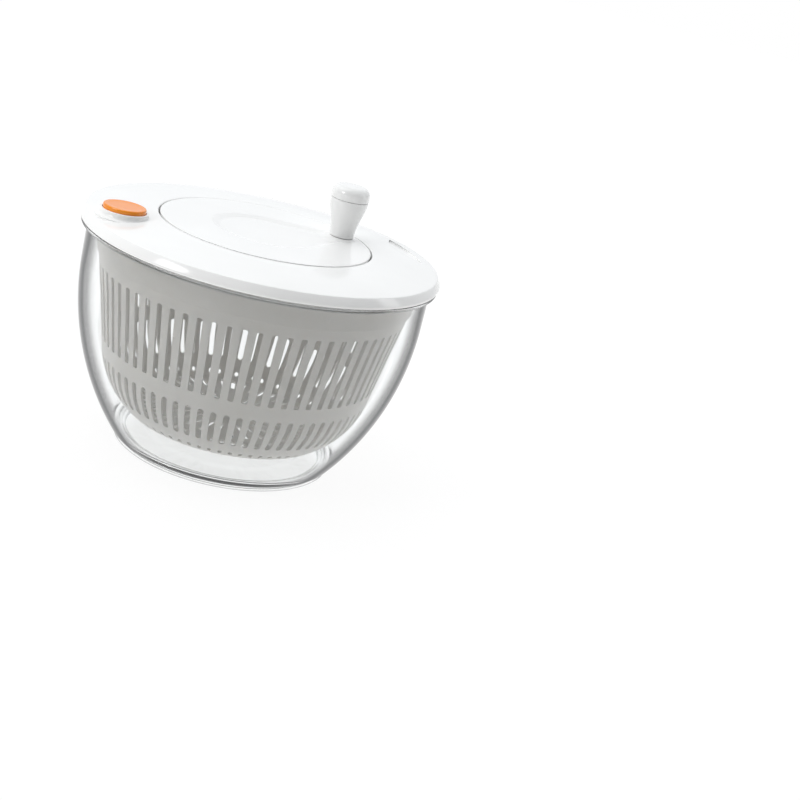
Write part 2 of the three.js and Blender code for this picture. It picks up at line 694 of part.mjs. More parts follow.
const TIP = 0.9 * MODULE;
const ROOT = 1.2 * MODULE;
const pinionOutline = () => toothed(PINION_TEETH, -BACKLASH / 2, TIP, ROOT);

// Half a tooth pitch, so that an idler's gap meets the sun's tooth.
const HALF_TOOTH = 180 / PINION_TEETH;
around(IDLERS).forEach((degrees, i) => {
  const place = polar(IDLER_CIRCLE, degrees);
  const wheel = prism(pinionOutline(), GEAR_UNDER, GEAR_TOP)
    .subtract(tube(IDLER_PIN_RADIUS + RUN, GEAR_UNDER - 1, GEAR_TOP + 1, 0, 12))
    .rotate([0, 0, degrees + 180 + HALF_TOOTH]);
  piece(`idler_gear_${i + 1}`, move(wheel, ...place), ACETAL());
  const pinHead = GEAR_TOP + TOUCH;
  const pin = revolve(
    [
      [0, HOUSING_FLOOR_UNDER],
      [IDLER_PIN_RADIUS, HOUSING_FLOOR_UNDER],
      [IDLER_PIN_RADIUS, pinHead],
      [IDLER_PIN_RADIUS + 1.6, pinHead],
      [IDLER_PIN_RADIUS + 1.6, pinHead + 0.9],
      [0, pinHead + 0.9],
    ],
    12,
  );
  piece(`idler_pin_${i + 1}`, move(pin, ...place), STEEL());
});

// The sun gear and its hollow hub are one moulding: the hub runs in the bush and ends in a
// hexagon that drives the plate.
function sunGear() {
  const hexTop = PLATE_TOP + RUN;
  const hexagon = new THREE.Shape(
    around(6).map((degrees) => new THREE.Vector2(...polar(HEX_RADIUS, degrees))),
  );
  return prism(pinionOutline(), GEAR_UNDER, GEAR_TOP)
    .add(tube(HUB_SHAFT_RADIUS, hexTop, GEAR_UNDER + 1, 0, FINE_FACETS))
    .add(prism(hexagon, hexTop - HEX_LENGTH, hexTop + 1))
    .subtract(tube(AXLE_RADIUS + RUN, hexTop - HEX_LENGTH - 1, GEAR_TOP + 1, 0, FINE_FACETS));
}
piece("sun_gear", sunGear(), ACETAL());

// ---------------------------------------------------------------- driving plate

function drivingPlate() {
  const radius = BASKET_MOUTH_RADIUS - BASKET_WALL - PLATE_CLEAR;
  const mouth = new THREE.Path(
    around(6).map((degrees) => new THREE.Vector2(...polar(HEX_RADIUS + TOUCH, degrees))),
  );
  const disc = new THREE.Shape();
  disc.absarc(0, 0, radius, 0, 2 * Math.PI, false);
  disc.holes.push(mouth);
  for (const degrees of around(PLATE_HOLES, 30)) {
    const hole = new THREE.Path();
    hole.absarc(...polar(PLATE_HOLE_CIRCLE, degrees), PLATE_HOLE_RADIUS, 0, 2 * Math.PI, true);
    disc.holes.push(hole);
  }
  let plate = prism(disc, PLATE_UNDER, PLATE_TOP, FACETS / 4);
  const notchInner = BASKET_MOUTH_RADIUS - BASKET_WALL - RIB_DEPTH - SWEEP;
  for (const degrees of around(DRIVE_RIBS, 180 / SLOT_COUNT)) {
    const reach = [notchInner, radius + 2, RIB_WIDTH + 2 * SWEEP];
    plate = plate.subtract(spoke(...reach, PLATE_UNDER - 1, PLATE_TOP + 1, degrees));
  }
  return plate;
}
piece("driving_plate", drivingPlate(), WHITE());

const HEX_END = PLATE_TOP + RUN - HEX_LENGTH;
const WASHER_TOP = HEX_END - TOUCH;
const CLIP_TOP = WASHER_TOP - WASHER_THICK - TOUCH;
piece(
  "axle_washer",
  tube(WASHER_RADIUS, CLIP_TOP + TOUCH, WASHER_TOP, AXLE_RADIUS + TOUCH, FINE_FACETS),
  STEEL(),
);

// An open spring clip in the axle's groove.
function axleClip() {
  const ring = tube(CLIP_RADIUS, CLIP_TOP - CLIP_THICK, CLIP_TOP, AXLE_RADIUS - 0.2, FINE_FACETS);
  return ring.subtract(spoke(0, CLIP_RADIUS + 1, 3.4, CLIP_TOP - 3, CLIP_TOP + 1, 90));
}
piece("axle_clip", axleClip(), STEEL());

// ---------------------------------------------------------------- crank

const DISC_BOSS_UNDER = GEAR_TOP + SWEEP;
const knobPlace = polar(KNOB_CIRCLE, CRANK_REST);
const ringScrewAngles = around(RING_SCREWS, CRANK_REST + 60);
const RING_LUG_CIRCLE = RING_OUTER + RING_LUG_RADIUS - 1;
const RING_LUG_UNDER = WELL_LEDGE_Z + RING_SCREW_HEAD + SWEEP;
const RING_TOP = DISC_UNDER - DISC_PAD - TOUCH;

// The dish is a circle round the axle and a small one under the knob, with their tangents. Its
// outline is drawn along +X and turned to the knob.
function dishTool() {
  const tangent = Math.acos((DISH_RADIUS - KNOB_FOOT_RADIUS) / KNOB_CIRCLE);
  const outline = new THREE.Shape();
  outline.absarc(0, 0, DISH_RADIUS, tangent, -tangent, false);
  outline.absarc(KNOB_CIRCLE, 0, KNOB_FOOT_RADIUS, -tangent, tangent, false);
  const raised = new THREE.ExtrudeGeometry(outline, {
    depth: DISH_DEPTH,
    bevelThickness: DISH_DEPTH,
    bevelSize: DISH_SLOPE,
    bevelOffset: -DISH_SLOPE,
    bevelSegments: 1,
    curveSegments: 12,
  });
  return solidOf(raised.translate(0, 0, DISC_TOP).rotateZ(radians(CRANK_REST)));
}

// A concave flare that sweeps from the dish up to the knob's foot, kept inside the disc.
function pedestal() {
  const rise = PEDESTAL_TOP - DISH_FLOOR;
  const flare = [0, 0.25, 0.5, 0.75, 1].map((share) => [
    KNOB_FOOT_RADIUS + PEDESTAL_FLARE * (1 - share),
    DISH_FLOOR + rise * share * share,
  ]);
  const horn = revolve(
    [
      [0, DISC_UNDER + 0.5],
      [KNOB_FOOT_RADIUS + PEDESTAL_FLARE, DISC_UNDER + 0.5],
      ...flare,
      [0, PEDESTAL_TOP],
    ],
    FINE_FACETS,
  );
  const inside = tube(DISC_RADIUS - 1, DISC_UNDER, PEDESTAL_TOP + 1, 0, FACETS);
  return move(horn, ...knobPlace).intersect(inside);
}

function crankDisc() {
  const skirtUnder = DISC_UNDER - DISC_SKIRT;
  let disc = revolve([
    [0, DISC_BOSS_UNDER],
    [DISC_BOSS_RADIUS, DISC_BOSS_UNDER],
    [DISC_BOSS_RADIUS, DISC_UNDER - DISH_DEPTH / 2],
    [DISH_RADIUS - DISH_SLOPE, DISC_UNDER - DISH_DEPTH / 2],
    [DISH_RADIUS, DISC_UNDER],
    [DISC_RADIUS - DISC_SKIRT_WALL, DISC_UNDER],
    [DISC_RADIUS - DISC_SKIRT_WALL, skirtUnder],
    [DISC_RADIUS, skirtUnder],
    [DISC_RADIUS, DISC_TOP - 0.6],
    [DISC_RADIUS - 0.6, DISC_TOP],
    [0, DISC_TOP],
  ]);
  disc = disc.subtract(dishTool()).add(pedestal());
  const knobHole = tube(KNOB_PIN_RADIUS + TOUCH, DISC_UNDER - 1, PEDESTAL_TOP + 1);
  disc = disc.subtract(move(knobHole, ...knobPlace));
  for (const degrees of ringScrewAngles) {
    const place = polar(RING_LUG_CIRCLE, degrees);
    const pad = tube(RING_LUG_RADIUS, RING_TOP + TOUCH, DISC_UNDER + 1, 0, 12);
    const boreTop = DISC_TOP - DISC_SKIN;
    const bore = tube(RING_SCREW_RADIUS + TOUCH, RING_TOP, boreTop, 0, SCREW_FACETS);
    disc = disc.add(move(pad, ...place)).subtract(move(bore, ...place));
  }
  const axleBore = tube(AXLE_RADIUS + TOUCH, DISC_BOSS_UNDER - 1, DISH_FLOOR - DISC_SKIN);
  return disc.subtract(axleBore);
}
piece("crank_disc", crankDisc(), WHITE());

// Ring gear with teeth inside and three lugs outside; it hangs under the crank disc.
function ringGear() {
  const shell = tube(RING_OUTER, GEAR_UNDER, RING_TOP, 0, FACETS);
  const cut = toothed(RING_TEETH, BACKLASH / 2, ROOT, TIP);
  let ring = shell.subtract(prism(cut, GEAR_UNDER - 1, RING_TOP + 1));
  for (const degrees of ringScrewAngles) {
    const place = polar(RING_LUG_CIRCLE, degrees);
    ring = ring.add(move(tube(RING_LUG_RADIUS, RING_LUG_UNDER, RING_TOP, 0, 12), ...place));
    const hole = tube(RING_SCREW_RADIUS + TOUCH, RING_LUG_UNDER - 1, RING_TOP + 1, 0, SCREW_FACETS);
    ring = ring.subtract(move(hole, ...place));
  }
  return ring;
}
piece("ring_gear", ringGear(), ACETAL());

ringScrewAngles.forEach((degrees, i) => {
  const seat = RING_LUG_UNDER - TOUCH;
  const end = DISC_TOP - DISC_SKIN - TOUCH;
  const screw = revolve(
    [
      [0, seat - RING_SCREW_HEAD],
      [RING_SCREW_HEAD_RADIUS, seat - RING_SCREW_HEAD],
      [RING_SCREW_HEAD_RADIUS, seat],
      [RING_SCREW_RADIUS, seat],
      [RING_SCREW_RADIUS, end],
      [0, end],
    ],
    SCREW_FACETS,
  );
  piece(`ring_screw_${i + 1}`, move(screw, ...polar(RING_LUG_CIRCLE, degrees)), STEEL());
});

// The axle hangs in the disc's boss and reaches through the hub to the clip.
function crankAxle() {
  const top = DISH_FLOOR - DISC_SKIN - TOUCH;
  const low = CLIP_TOP - CLIP_THICK - 2;
  const neck = AXLE_RADIUS - 0.5;
  return revolve(
    [
      [0, low],
      [AXLE_RADIUS, low],
      [AXLE_RADIUS, CLIP_TOP - CLIP_THICK - TOUCH],
      [neck, CLIP_TOP - CLIP_THICK - TOUCH],
      [neck, CLIP_TOP + TOUCH],
      [AXLE_RADIUS, CLIP_TOP + TOUCH],
      [AXLE_RADIUS, top],
      [0, top],
    ],
    SMALL_FACETS,
  );
}
piece("crank_axle", crankAxle(), STEEL());

// ---------------------------------------------------------------- knob

const KNOB_FOOT_Z = PEDESTAL_TOP + RUN;
const POCKET_FLOOR = KNOB_SEAM_Z - KNOB_POCKET;
const KNOB_WASHER_TOP = POCKET_FLOOR + RUN + 0.8;
const KNOB_PIN_TOP = KNOB_WASHER_TOP + KNOB_NUT + 1;

function knobPin() {
  const headTop = DISC_UNDER - TOUCH;
  return revolve(
    [
      [0, headTop - KNOB_PIN_HEAD],
      [KNOB_PIN_HEAD_RADIUS, headTop - KNOB_PIN_HEAD],
      [KNOB_PIN_HEAD_RADIUS, headTop],
      [KNOB_PIN_RADIUS, headTop],
      [KNOB_PIN_RADIUS, KNOB_PIN_TOP],
      [0, KNOB_PIN_TOP],
    ],
    SMALL_FACETS,
  );
}
piece("knob_pin", move(knobPin(), ...knobPlace), STEEL());

// The body widens from its foot to the seam in a gentle S.
function knobBody() {
  const swell = [0, 0.2, 0.4, 0.6, 0.8, 1].map((share) => {
    const ease = (1 - Math.cos(Math.PI * Math.pow(share, 1.15))) / 2;
    return [
      KNOB_FOOT_RADIUS + (KNOB_RADIUS - KNOB_FOOT_RADIUS) * ease,
      KNOB_FOOT_Z + (KNOB_SEAM_Z - KNOB_FOOT_Z) * share,
    ];
  });
  return revolve(
    [
      [KNOB_PIN_RADIUS + RUN, KNOB_FOOT_Z],
      ...swell,
      [KNOB_POCKET_RADIUS, KNOB_SEAM_Z],
      [KNOB_POCKET_RADIUS, POCKET_FLOOR],
      [KNOB_PIN_RADIUS + RUN, POCKET_FLOOR],
    ],
    FINE_FACETS,
  );
}
piece("knob_body", move(knobBody(), ...knobPlace), WHITE());

function knobCap() {
  const low = KNOB_SEAM_Z + TOUCH;
  const round = (KNOB_TOP - low) * 0.6;
  const crown = arc(KNOB_RADIUS - round, KNOB_TOP - round, round, 0, 90, 3);
  const plug = KNOB_POCKET_RADIUS - TOUCH;
  return revolve(
    [
      [0, low],
      [plug - 1.5, low],
      [plug - 1.5, low - 2.5],
      [plug, low - 2.5],
      [plug, low],
      [KNOB_RADIUS, low],
      ...crown,
      [0, KNOB_TOP + KNOB_CROWN],
    ],
    FINE_FACETS,
  );
}
piece("knob_cap", move(knobCap(), ...knobPlace), WHITE());

piece(
  "knob_washer",
  move(
    tube(KNOB_NUT_RADIUS + 1.4, KNOB_WASHER_TOP - 0.8, KNOB_WASHER_TOP, KNOB_PIN_RADIUS + TOUCH),
    ...knobPlace,
  ),
  STEEL(),
);
const nutLow = KNOB_WASHER_TOP + TOUCH;
piece(
  "knob_nut",
  move(
    tube(KNOB_NUT_RADIUS, nutLow, nutLow + KNOB_NUT, 0, 6).subtract(
      tube(KNOB_PIN_RADIUS + TOUCH, nutLow - 1, nutLow + KNOB_NUT + 1),
    ),
    ...knobPlace,
  ),
  STEEL(),
);

// ---------------------------------------------------------------- brake

const brake = new THREE.Group();
brake.position.set(-BRAKE_CIRCLE, 0, 0);
spinner.add(brake);
const SOCKET_RADIUS = STEM_RADIUS + TOUCH + 1.4;
const BUTTON_CEILING = BUTTON_TOP - BUTTON_WALL - 0.4;
const STEM_TOP = BUTTON_CEILING - TOUCH;
const SOCKET_LENGTH = 2.6;

function brakeButton() {
  const low = BUTTON_TOP - BUTTON_SKIRT;
  const inner = BUTTON_RADIUS - BUTTON_WALL;
  return revolve(
    [
      [BUTTON_RADIUS, low],
      [BUTTON_RADIUS, BUTTON_TOP - 1],
      [BUTTON_RADIUS - 1, BUTTON_TOP],
      [0, BUTTON_TOP],
      [0, BUTTON_CEILING],
      [STEM_RADIUS + TOUCH, BUTTON_CEILING],
      [STEM_RADIUS + TOUCH, BUTTON_CEILING - SOCKET_LENGTH],
      [SOCKET_RADIUS, BUTTON_CEILING - SOCKET_LENGTH],
      [SOCKET_RADIUS, BUTTON_CEILING],
      [inner, BUTTON_CEILING],
      [inner, low],
    ],
    FINE_FACETS,
  );
}
piece("brake_button", brakeButton(), ORANGE(), brake);

function brakeStem() {
  return tube(STEM_RADIUS, SHOE_TOP - SHOE_SOCKET, STEM_TOP);
}
piece("brake_stem", brakeStem(), WHITE(), brake);

function brakeShoe() {
  const pad = revolve(
    [
      [0, SHOE_UNDER],
      [SHOE_RADIUS - 0.6, SHOE_UNDER],
      [SHOE_RADIUS, SHOE_UNDER + 0.6],
      [SHOE_RADIUS, SHOE_TOP],
      [0, SHOE_TOP],
    ],
    FINE_FACETS,
  );
  return pad.subtract(tube(STEM_RADIUS + TOUCH, SHOE_TOP - SHOE_SOCKET - TOUCH, SHOE_TOP + 1));
}
piece("brake_shoe", brakeShoe(), GREY_RUBBER(), brake);

// A compression spring round the stem, between the floor and the button.
function brakeSpring() {
  const coilRadius = SOCKET_RADIUS + TOUCH + SPRING_WIRE / 2;
  const low = BRAKE_FLOOR_Z + TOUCH + SPRING_WIRE / 2;
  const high = BUTTON_CEILING - TOUCH - SPRING_WIRE / 2;
  class Coil extends THREE.Curve {
    getPoint(t, target = new THREE.Vector3()) {
      const angle = 2 * Math.PI * SPRING_TURNS * t;
      const x = coilRadius * Math.cos(angle);
      return target.set(x, coilRadius * Math.sin(angle), low + (high - low) * t);
    }
  }
  const wire = new THREE.Shape();
  wire.absarc(0, 0, SPRING_WIRE / 2, 0, 2 * Math.PI, false);
  const swept = { steps: 10 * SPRING_TURNS, extrudePath: new Coil(), curveSegments: 3 };
  return solidOf(new THREE.ExtrudeGeometry(wire, swept));
}
piece("brake_spring", brakeSpring(), STEEL(), brake);

export default spinner;
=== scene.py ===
"""A crank salad spinner: its looks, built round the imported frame. Blender 4.5.

Metres and +Z up, as in the frame. A round piece's section is in millimetres of radius and height.
"""

import math

import bmesh
import bpy
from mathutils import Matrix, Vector


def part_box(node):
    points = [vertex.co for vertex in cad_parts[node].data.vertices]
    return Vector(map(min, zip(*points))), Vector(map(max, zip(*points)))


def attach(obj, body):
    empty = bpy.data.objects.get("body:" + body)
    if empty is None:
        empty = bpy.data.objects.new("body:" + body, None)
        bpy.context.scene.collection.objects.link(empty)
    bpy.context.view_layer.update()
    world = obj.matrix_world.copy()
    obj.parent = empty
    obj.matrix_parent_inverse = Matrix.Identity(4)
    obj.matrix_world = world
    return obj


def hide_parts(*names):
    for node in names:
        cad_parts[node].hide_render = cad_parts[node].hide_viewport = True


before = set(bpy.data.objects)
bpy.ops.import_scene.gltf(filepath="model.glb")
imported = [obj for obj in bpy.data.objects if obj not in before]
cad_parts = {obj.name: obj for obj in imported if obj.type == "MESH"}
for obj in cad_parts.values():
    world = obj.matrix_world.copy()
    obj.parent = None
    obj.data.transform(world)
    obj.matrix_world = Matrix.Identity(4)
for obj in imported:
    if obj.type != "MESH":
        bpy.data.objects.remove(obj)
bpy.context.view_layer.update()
MM = 0.001

# ---------------------------------------------------------------- studio
# A lit white table that runs past the view keeps the shadows faint. The sky is white to the
# camera and, to every other ray, bright above and behind and dark towards the front. Soft
# boxes left and right draw the highlights, and a broad sun overhead adds the shading.


def linear(code):
    """An sRGB hex colour as the linear RGBA that shaders take."""
    parts = [int(code[i : i + 2], 16) / 255 for i in (1, 3, 5)]
    return [p / 12.92 if p <= 0.04045 else ((p + 0.055) / 1.055) ** 2.4 for p in parts] + [1]


def add(tree, kind, inputs=None, **properties):
    """Adds a shader node. An input is given a value, or another node's socket to link."""
    made = tree.nodes.new("ShaderNode" + kind)
    for name, value in properties.items():
        setattr(made, name, value)
    for name, value in (inputs or {}).items():
        if isinstance(value, bpy.types.NodeSocket):
            tree.links.new(value, made.inputs[name])
        else:
            made.inputs[name].default_value = value
    return made


def blank(name):
    """A new material with an empty node tree."""
    made = bpy.data.materials.new(name)
    made.use_nodes = True
    made.node_tree.nodes.clear()
    return made, made.node_tree


scene = bpy.context.scene
scene.view_settings.view_transform = "Standard"
scene.world = bpy.data.worlds.new("studio")
scene.world.use_nodes = True
sky = scene.world.node_tree
sky.nodes.clear()
brightest = {0: add(sky, "TexCoord").outputs["Generated"], 1: (0.25, 0.6, 0.76)}
towards = add(sky, "VectorMath", brightest, operation="DOT_PRODUCT")
shades = add(sky, "ValToRGB", {"Fac": towards.outputs["Value"]})
ramp = shades.color_ramp
ramp.elements[0].color = linear("#2C2E30")
ramp.elements[1].color = linear("#F4F6F8")
for position, code in ((0.12, "#3C3E40"), (0.3, "#A6A8AA"), (0.55, "#DCDEE0")):
    ramp.elements.new(position).color = linear(code)
lit = add(sky, "Background", {"Color": shades.outputs["Color"], "Strength": 1.17})
seen = add(sky, "Background", {"Color": linear("#FFFFFF"), "Strength": 1.0})
camera_ray = add(sky, "LightPath").outputs["Is Camera Ray"]
shown = add(sky, "MixShader", {0: camera_ray, 1: lit.outputs[0], 2: seen.outputs[0]})
add(sky, "OutputWorld", {"Surface": shown.outputs[0]})


def soft_box(name, place, aim, width, height, power):
    """A rectangular studio lamp, square on to the point that it is aimed at."""
    lamp = bpy.data.lights.new(name, "AREA")
    lamp.shape = "RECTANGLE"
    lamp.size = width
    lamp.size_y = height
    lamp.energy = power
    box = bpy.data.objects.new(name, lamp)
    box.location = place
    box.rotation_euler = (Vector(aim) - Vector(place)).to_track_quat("-Z", "Y").to_euler()
    scene.collection.objects.link(box)


SPINNER_MIDDLE = (0, 0, 0.1)
soft_box("left_box", (-1.5, -0.35, 0.85), SPINNER_MIDDLE, 0.5, 0.7, 9)
soft_box("right_strip", (1.3, -0.5, 0.55), SPINNER_MIDDLE, 0.3, 0.9, 2)

overhead = bpy.data.lights.new("overhead", "SUN")
overhead.energy = 0.75
overhead.angle = math.radians(50)
overhead_holder = bpy.data.objects.new("overhead", overhead)
overhead_holder.rotation_euler = (math.radians(-12), math.radians(-22), 0)
scene.collection.objects.link(overhead_holder)

bpy.ops.object.select_all(action="DESELECT")
bpy.ops.mesh.primitive_circle_add(vertices=96, radius=12, fill_type="NGON", location=(0, 0, 0))
floor = bpy.context.object
floor.name = "floor"
opal, tree = blank("opal_light_table")
place = add(tree, "TexCoord")
grain = add(tree, "TexNoise", {"Vector": place.outputs["Object"], "Scale": 600.0, "Detail": 4.0})
tint = add(tree, "ValToRGB", {"Fac": grain.outputs["Fac"]})
tint.color_ramp.elements[0].color = linear("#4E4E4E")
tint.color_ramp.elements[1].color = linear("#525252")
matt = {"Base Color": tint.outputs["Color"], "Roughness": 0.95, "Specular IOR Level": 0.1}
matt["Emission Color"] = linear("#FFFFFF")
matt["Emission Strength"] = 0.93
add(tree, "OutputMaterial", {"Surface": add(tree, "BsdfPrincipled", matt).outputs[0]})
floor.data.materials.append(opal)

camera = bpy.data.objects.new("camera", bpy.data.cameras.new("camera"))
scene.collection.objects.link(camera)
camera.data.lens = 60.87
camera.data.clip_end = 50
camera.location = (-0.3722, -0.8768, 0.3988)
camera.rotation_euler = [math.radians(turn) for turn in (70.157, -13.707, -25.508)]
scene.camera = camera

# ---------------------------------------------------------------- bowl
# Clear styrene-acrylonitrile, injection moulded and polished: thick, hard and glass-like. Its
# round side runs into a straight mouth with a flat lip, and a boss in the floor holds the pin.


def arc(centre, radius, start, end, steps):
    """Points of a section along an arc, its ends included, from one angle to another."""
    turns = [math.radians(start + (end - start) * i / steps) for i in range(steps + 1)]
    return [(centre[0] + radius * math.cos(t), centre[1] + radius * math.sin(t)) for t in turns]


def pick(made, corners, centre):
    """Selects the section's vertices at these corners, and nothing else."""
    mesh = bmesh.from_edit_mesh(made.data)
    spots = [Vector(((centre[0] + r) * MM, centre[1] * MM, z * MM)) for r, z in corners]
    for vertex in mesh.verts:
        vertex.select_set(any((vertex.co - spot).length < 1e-6 for spot in spots))
    mesh.select_flush(True)
    bmesh.update_edit_mesh(made.data)


def turned(name, section, rounds=(), centre=(0, 0), steps=128, crease=30):
    """A round piece. Its section is drawn point by point and spun about the upright line
    through centre. rounds lists (radius, height, fillet) for the corners to be rounded."""
    bpy.ops.object.select_all(action="DESELECT")
    first = ((centre[0] + section[0][0]) * MM, centre[1] * MM, section[0][1] * MM)
    bpy.ops.mesh.primitive_plane_add(size=MM, location=first)
    made = bpy.context.object
    made.name = name
    bpy.ops.object.transform_apply(location=True)
    bpy.ops.object.mode_set(mode="EDIT")
    bpy.ops.mesh.select_all(action="SELECT")
    bpy.ops.mesh.merge(type="CENTER")
    for (r0, z0), (r1, z1) in zip(section, section[1:]):
        step = ((r1 - r0) * MM, 0, (z1 - z0) * MM)
        bpy.ops.mesh.extrude_region_move(TRANSFORM_OT_translate={"value": step})
    if section[0][0] > 0 and section[-1][0] > 0:
        pick(made, [section[0], section[-1]], centre)
        bpy.ops.mesh.edge_face_add()
    for r, z, fillet in rounds:
        pick(made, [(r, z)], centre)
        bpy.ops.mesh.bevel(offset=fillet * MM, segments=4, affect="VERTICES")
    bpy.ops.mesh.select_all(action="SELECT")
    axis = (centre[0] * MM, centre[1] * MM, 0)
    bpy.ops.mesh.spin(steps=steps, angle=2 * math.pi, center=axis, axis=(0, 0, 1))
    bpy.ops.mesh.select_all(action="SELECT")
    bpy.ops.mesh.remove_doubles(threshold=1e-6)
    bpy.ops.mesh.normals_make_consistent(inside=False)
    bpy.ops.object.mode_set(mode="OBJECT")
    bpy.ops.object.shade_smooth_by_angle(angle=math.radians(crease))
    return made


def belongs(made, material, body, slot, *nodes):
    """Gives a finished piece its material and its body, and hides the frame's own nodes."""
    made.data.materials.clear()
    made.data.materials.append(material)
    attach(made, body)
    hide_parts(*nodes)


def clear_plastic(name, color, edge, ior, roughness, haze_mm):
    """Clear moulded plastic with a faint flow haze in its gloss. Where the wall is seen edge on,
    painted shade makes its colour dark, weakens its gloss and lets little through: a painted dark
    outline."""
    made, tree = blank(name)
    place = add(tree, "TexCoord").outputs["Object"]
    haze = add(tree, "TexNoise", {"Vector": place, "Scale": 1000 / haze_mm, "Detail": 3.0})
    spread = {"Value": haze.outputs["Fac"], "To Min": roughness, "To Max": roughness + 0.03}
    gloss = add(tree, "MapRange", spread).outputs["Result"]
    # Painted shade: seen edge on, the colour turns to the dark edge colour and gloss and transmission
    # drop, which paints the dark outline.
    facing = add(tree, "LayerWeight").outputs["Facing"]
    depth = add(tree, "ValToRGB", {"Fac": facing})
    depth.color_ramp.elements[0].position = 0.62
    depth.color_ramp.elements[0].color = linear(color)
    depth.color_ramp.elements[1].position = 0.78
    depth.color_ramp.elements[1].color = linear(edge)
    painted_outline_gloss = {"Value": facing, "From Min": 0.62, "From Max": 0.78, "To Min": 0.5, "To Max": 0.05}
    painted_outline_transmission = {"Value": facing, "From Min": 0.68, "From Max": 0.82, "To Min": 1.0, "To Max": 0.1}
    skin = {
        "Base Color": depth.outputs["Color"],
        "IOR": ior,
        "Roughness": gloss,
        "Specular IOR Level": add(tree, "MapRange", painted_outline_gloss).outputs["Result"],
        "Transmission Weight": add(tree, "MapRange", painted_outline_transmission).outputs["Result"],
    }
    add(tree, "OutputMaterial", {"Surface": add(tree, "BsdfPrincipled", skin).outputs[0]})
    return made


low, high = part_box("bowl")
BOWL_BASE = low.z / MM
LIP_TOP = high.z / MM
LIP_RADIUS = high.x / MM
LIP_THICK = 3
BOWL_RADIUS = LIP_RADIUS - 4.8
BOWL_WALL = 2.4
BOWL_CURVE = 200
BOWL_CURVE_TOP = 125
BOWL_FLOOR = BOWL_BASE + 3.6
BOSS_TOP = BOWL_FLOOR + 9
BOSS_RADIUS = 5.5
BOSS_FOOT = 8.5
PIN_HOLE = 2.3
PIN_HOLE_END = BOSS_TOP - 6.3
PUSH_UP = 1.2
GROOVE_RADIUS = 77.75
GROOVE_TOP = BOWL_BASE + 2.4


def bowl_side(inset, low, steps=36):
    """The bowl's round side, from a height up to its straight mouth."""
    radius = BOWL_CURVE - inset
    start = math.degrees(math.asin((low - BOWL_CURVE_TOP) / radius))
    return arc((BOWL_RADIUS - BOWL_CURVE, BOWL_CURVE_TOP), radius, start, 0, steps)


outside = bowl_side(0, BOWL_BASE)
inside = bowl_side(BOWL_WALL, BOWL_FLOOR)[::-1]
bowl = turned(
    "salad_bowl",
    [
        (0, BOWL_BASE + PUSH_UP),
        (56, BOWL_BASE + PUSH_UP),
        (60, BOWL_BASE),
        (GROOVE_RADIUS - 1.5, BOWL_BASE),
        (GROOVE_RADIUS - 1.5, GROOVE_TOP),
        (GROOVE_RADIUS + 1.5, GROOVE_TOP),
        (GROOVE_RADIUS + 1.5, BOWL_BASE),
        *outside,
        (BOWL_RADIUS, LIP_TOP - LIP_THICK),
        (LIP_RADIUS, LIP_TOP - LIP_THICK),
        (LIP_RADIUS, LIP_TOP),
        (BOWL_RADIUS - BOWL_WALL, LIP_TOP),
        *inside,
        (BOSS_FOOT, BOWL_FLOOR),
        (BOSS_RADIUS, BOWL_FLOOR + 4.5),
        (BOSS_RADIUS, BOSS_TOP),
        (PIN_HOLE, BOSS_TOP),
        (PIN_HOLE, PIN_HOLE_END),
        (0, PIN_HOLE_END),
    ],
    [
        (56, BOWL_BASE + PUSH_UP, 1.5),
        (60, BOWL_BASE, 1.5),
        (*outside[0], 1.2),
        (BOWL_RADIUS, LIP_TOP - LIP_THICK, 1.2),
        (LIP_RADIUS, LIP_TOP - LIP_THICK, 0.8),
        (LIP_RADIUS, LIP_TOP, 0.8),
        (BOWL_RADIUS - BOWL_WALL, LIP_TOP, 0.8),
        (*inside[-1], 3.5),
        (BOSS_FOOT, BOWL_FLOOR, 1.5),
        (BOSS_RADIUS, BOSS_TOP, 0.6),
    ],
    steps=256,
)
# The second colour, #2E3032, is painted shade: the dark outline where the bowl's wall is seen edge on.
clear = clear_plastic("clear_san_polished", "#FDFEFE", "#2E3032", 1.57, 0.0, 40)
belongs(bowl, clear, "bowl", "clear", "bowl")

# ---------------------------------------------------------------- foot ring
# A clear soft elastomer ring that keeps the bowl from sliding. Its rib is pressed into a
# groove under the bowl, and its skin is satin.
low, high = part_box("foot_ring")
FOOT_RADIUS = high.x / MM
FOOT_INNER = FOOT_RADIUS - 7.5
FOOT_TOP = 3.8
RIB_TOP = high.z / MM
foot = turned(
    "foot_ring_soft",
    [
        (FOOT_INNER, 0),
        (FOOT_RADIUS, 0),
        (FOOT_RADIUS, FOOT_TOP),
        (GROOVE_RADIUS + 1.2, FOOT_TOP),
        (GROOVE_RADIUS + 1.2, RIB_TOP),
        (GROOVE_RADIUS - 1.2, RIB_TOP),
        (GROOVE_RADIUS - 1.2, FOOT_TOP),
        (FOOT_INNER, FOOT_TOP),
    ],
    [(FOOT_INNER, 0, 0.8), (FOOT_RADIUS, 0, 0.8), (FOOT_RADIUS, FOOT_TOP, 0.8)],
    steps=192,
)
# The second colour, #8A8C8E, is painted shade: the grey outline where the ring is seen edge on.
satin = clear_plastic("clear_elastomer_satin", "#F4F5F5", "#8A8C8E", 1.48, 0.12, 15)
belongs(foot, satin, "bowl", "clear_rubber", "foot_ring")

# ---------------------------------------------------------------- pin
# A turned stainless pin pressed into the boss. Its round end carries the basket's cap, and
# the lathe leaves fine rings round it.


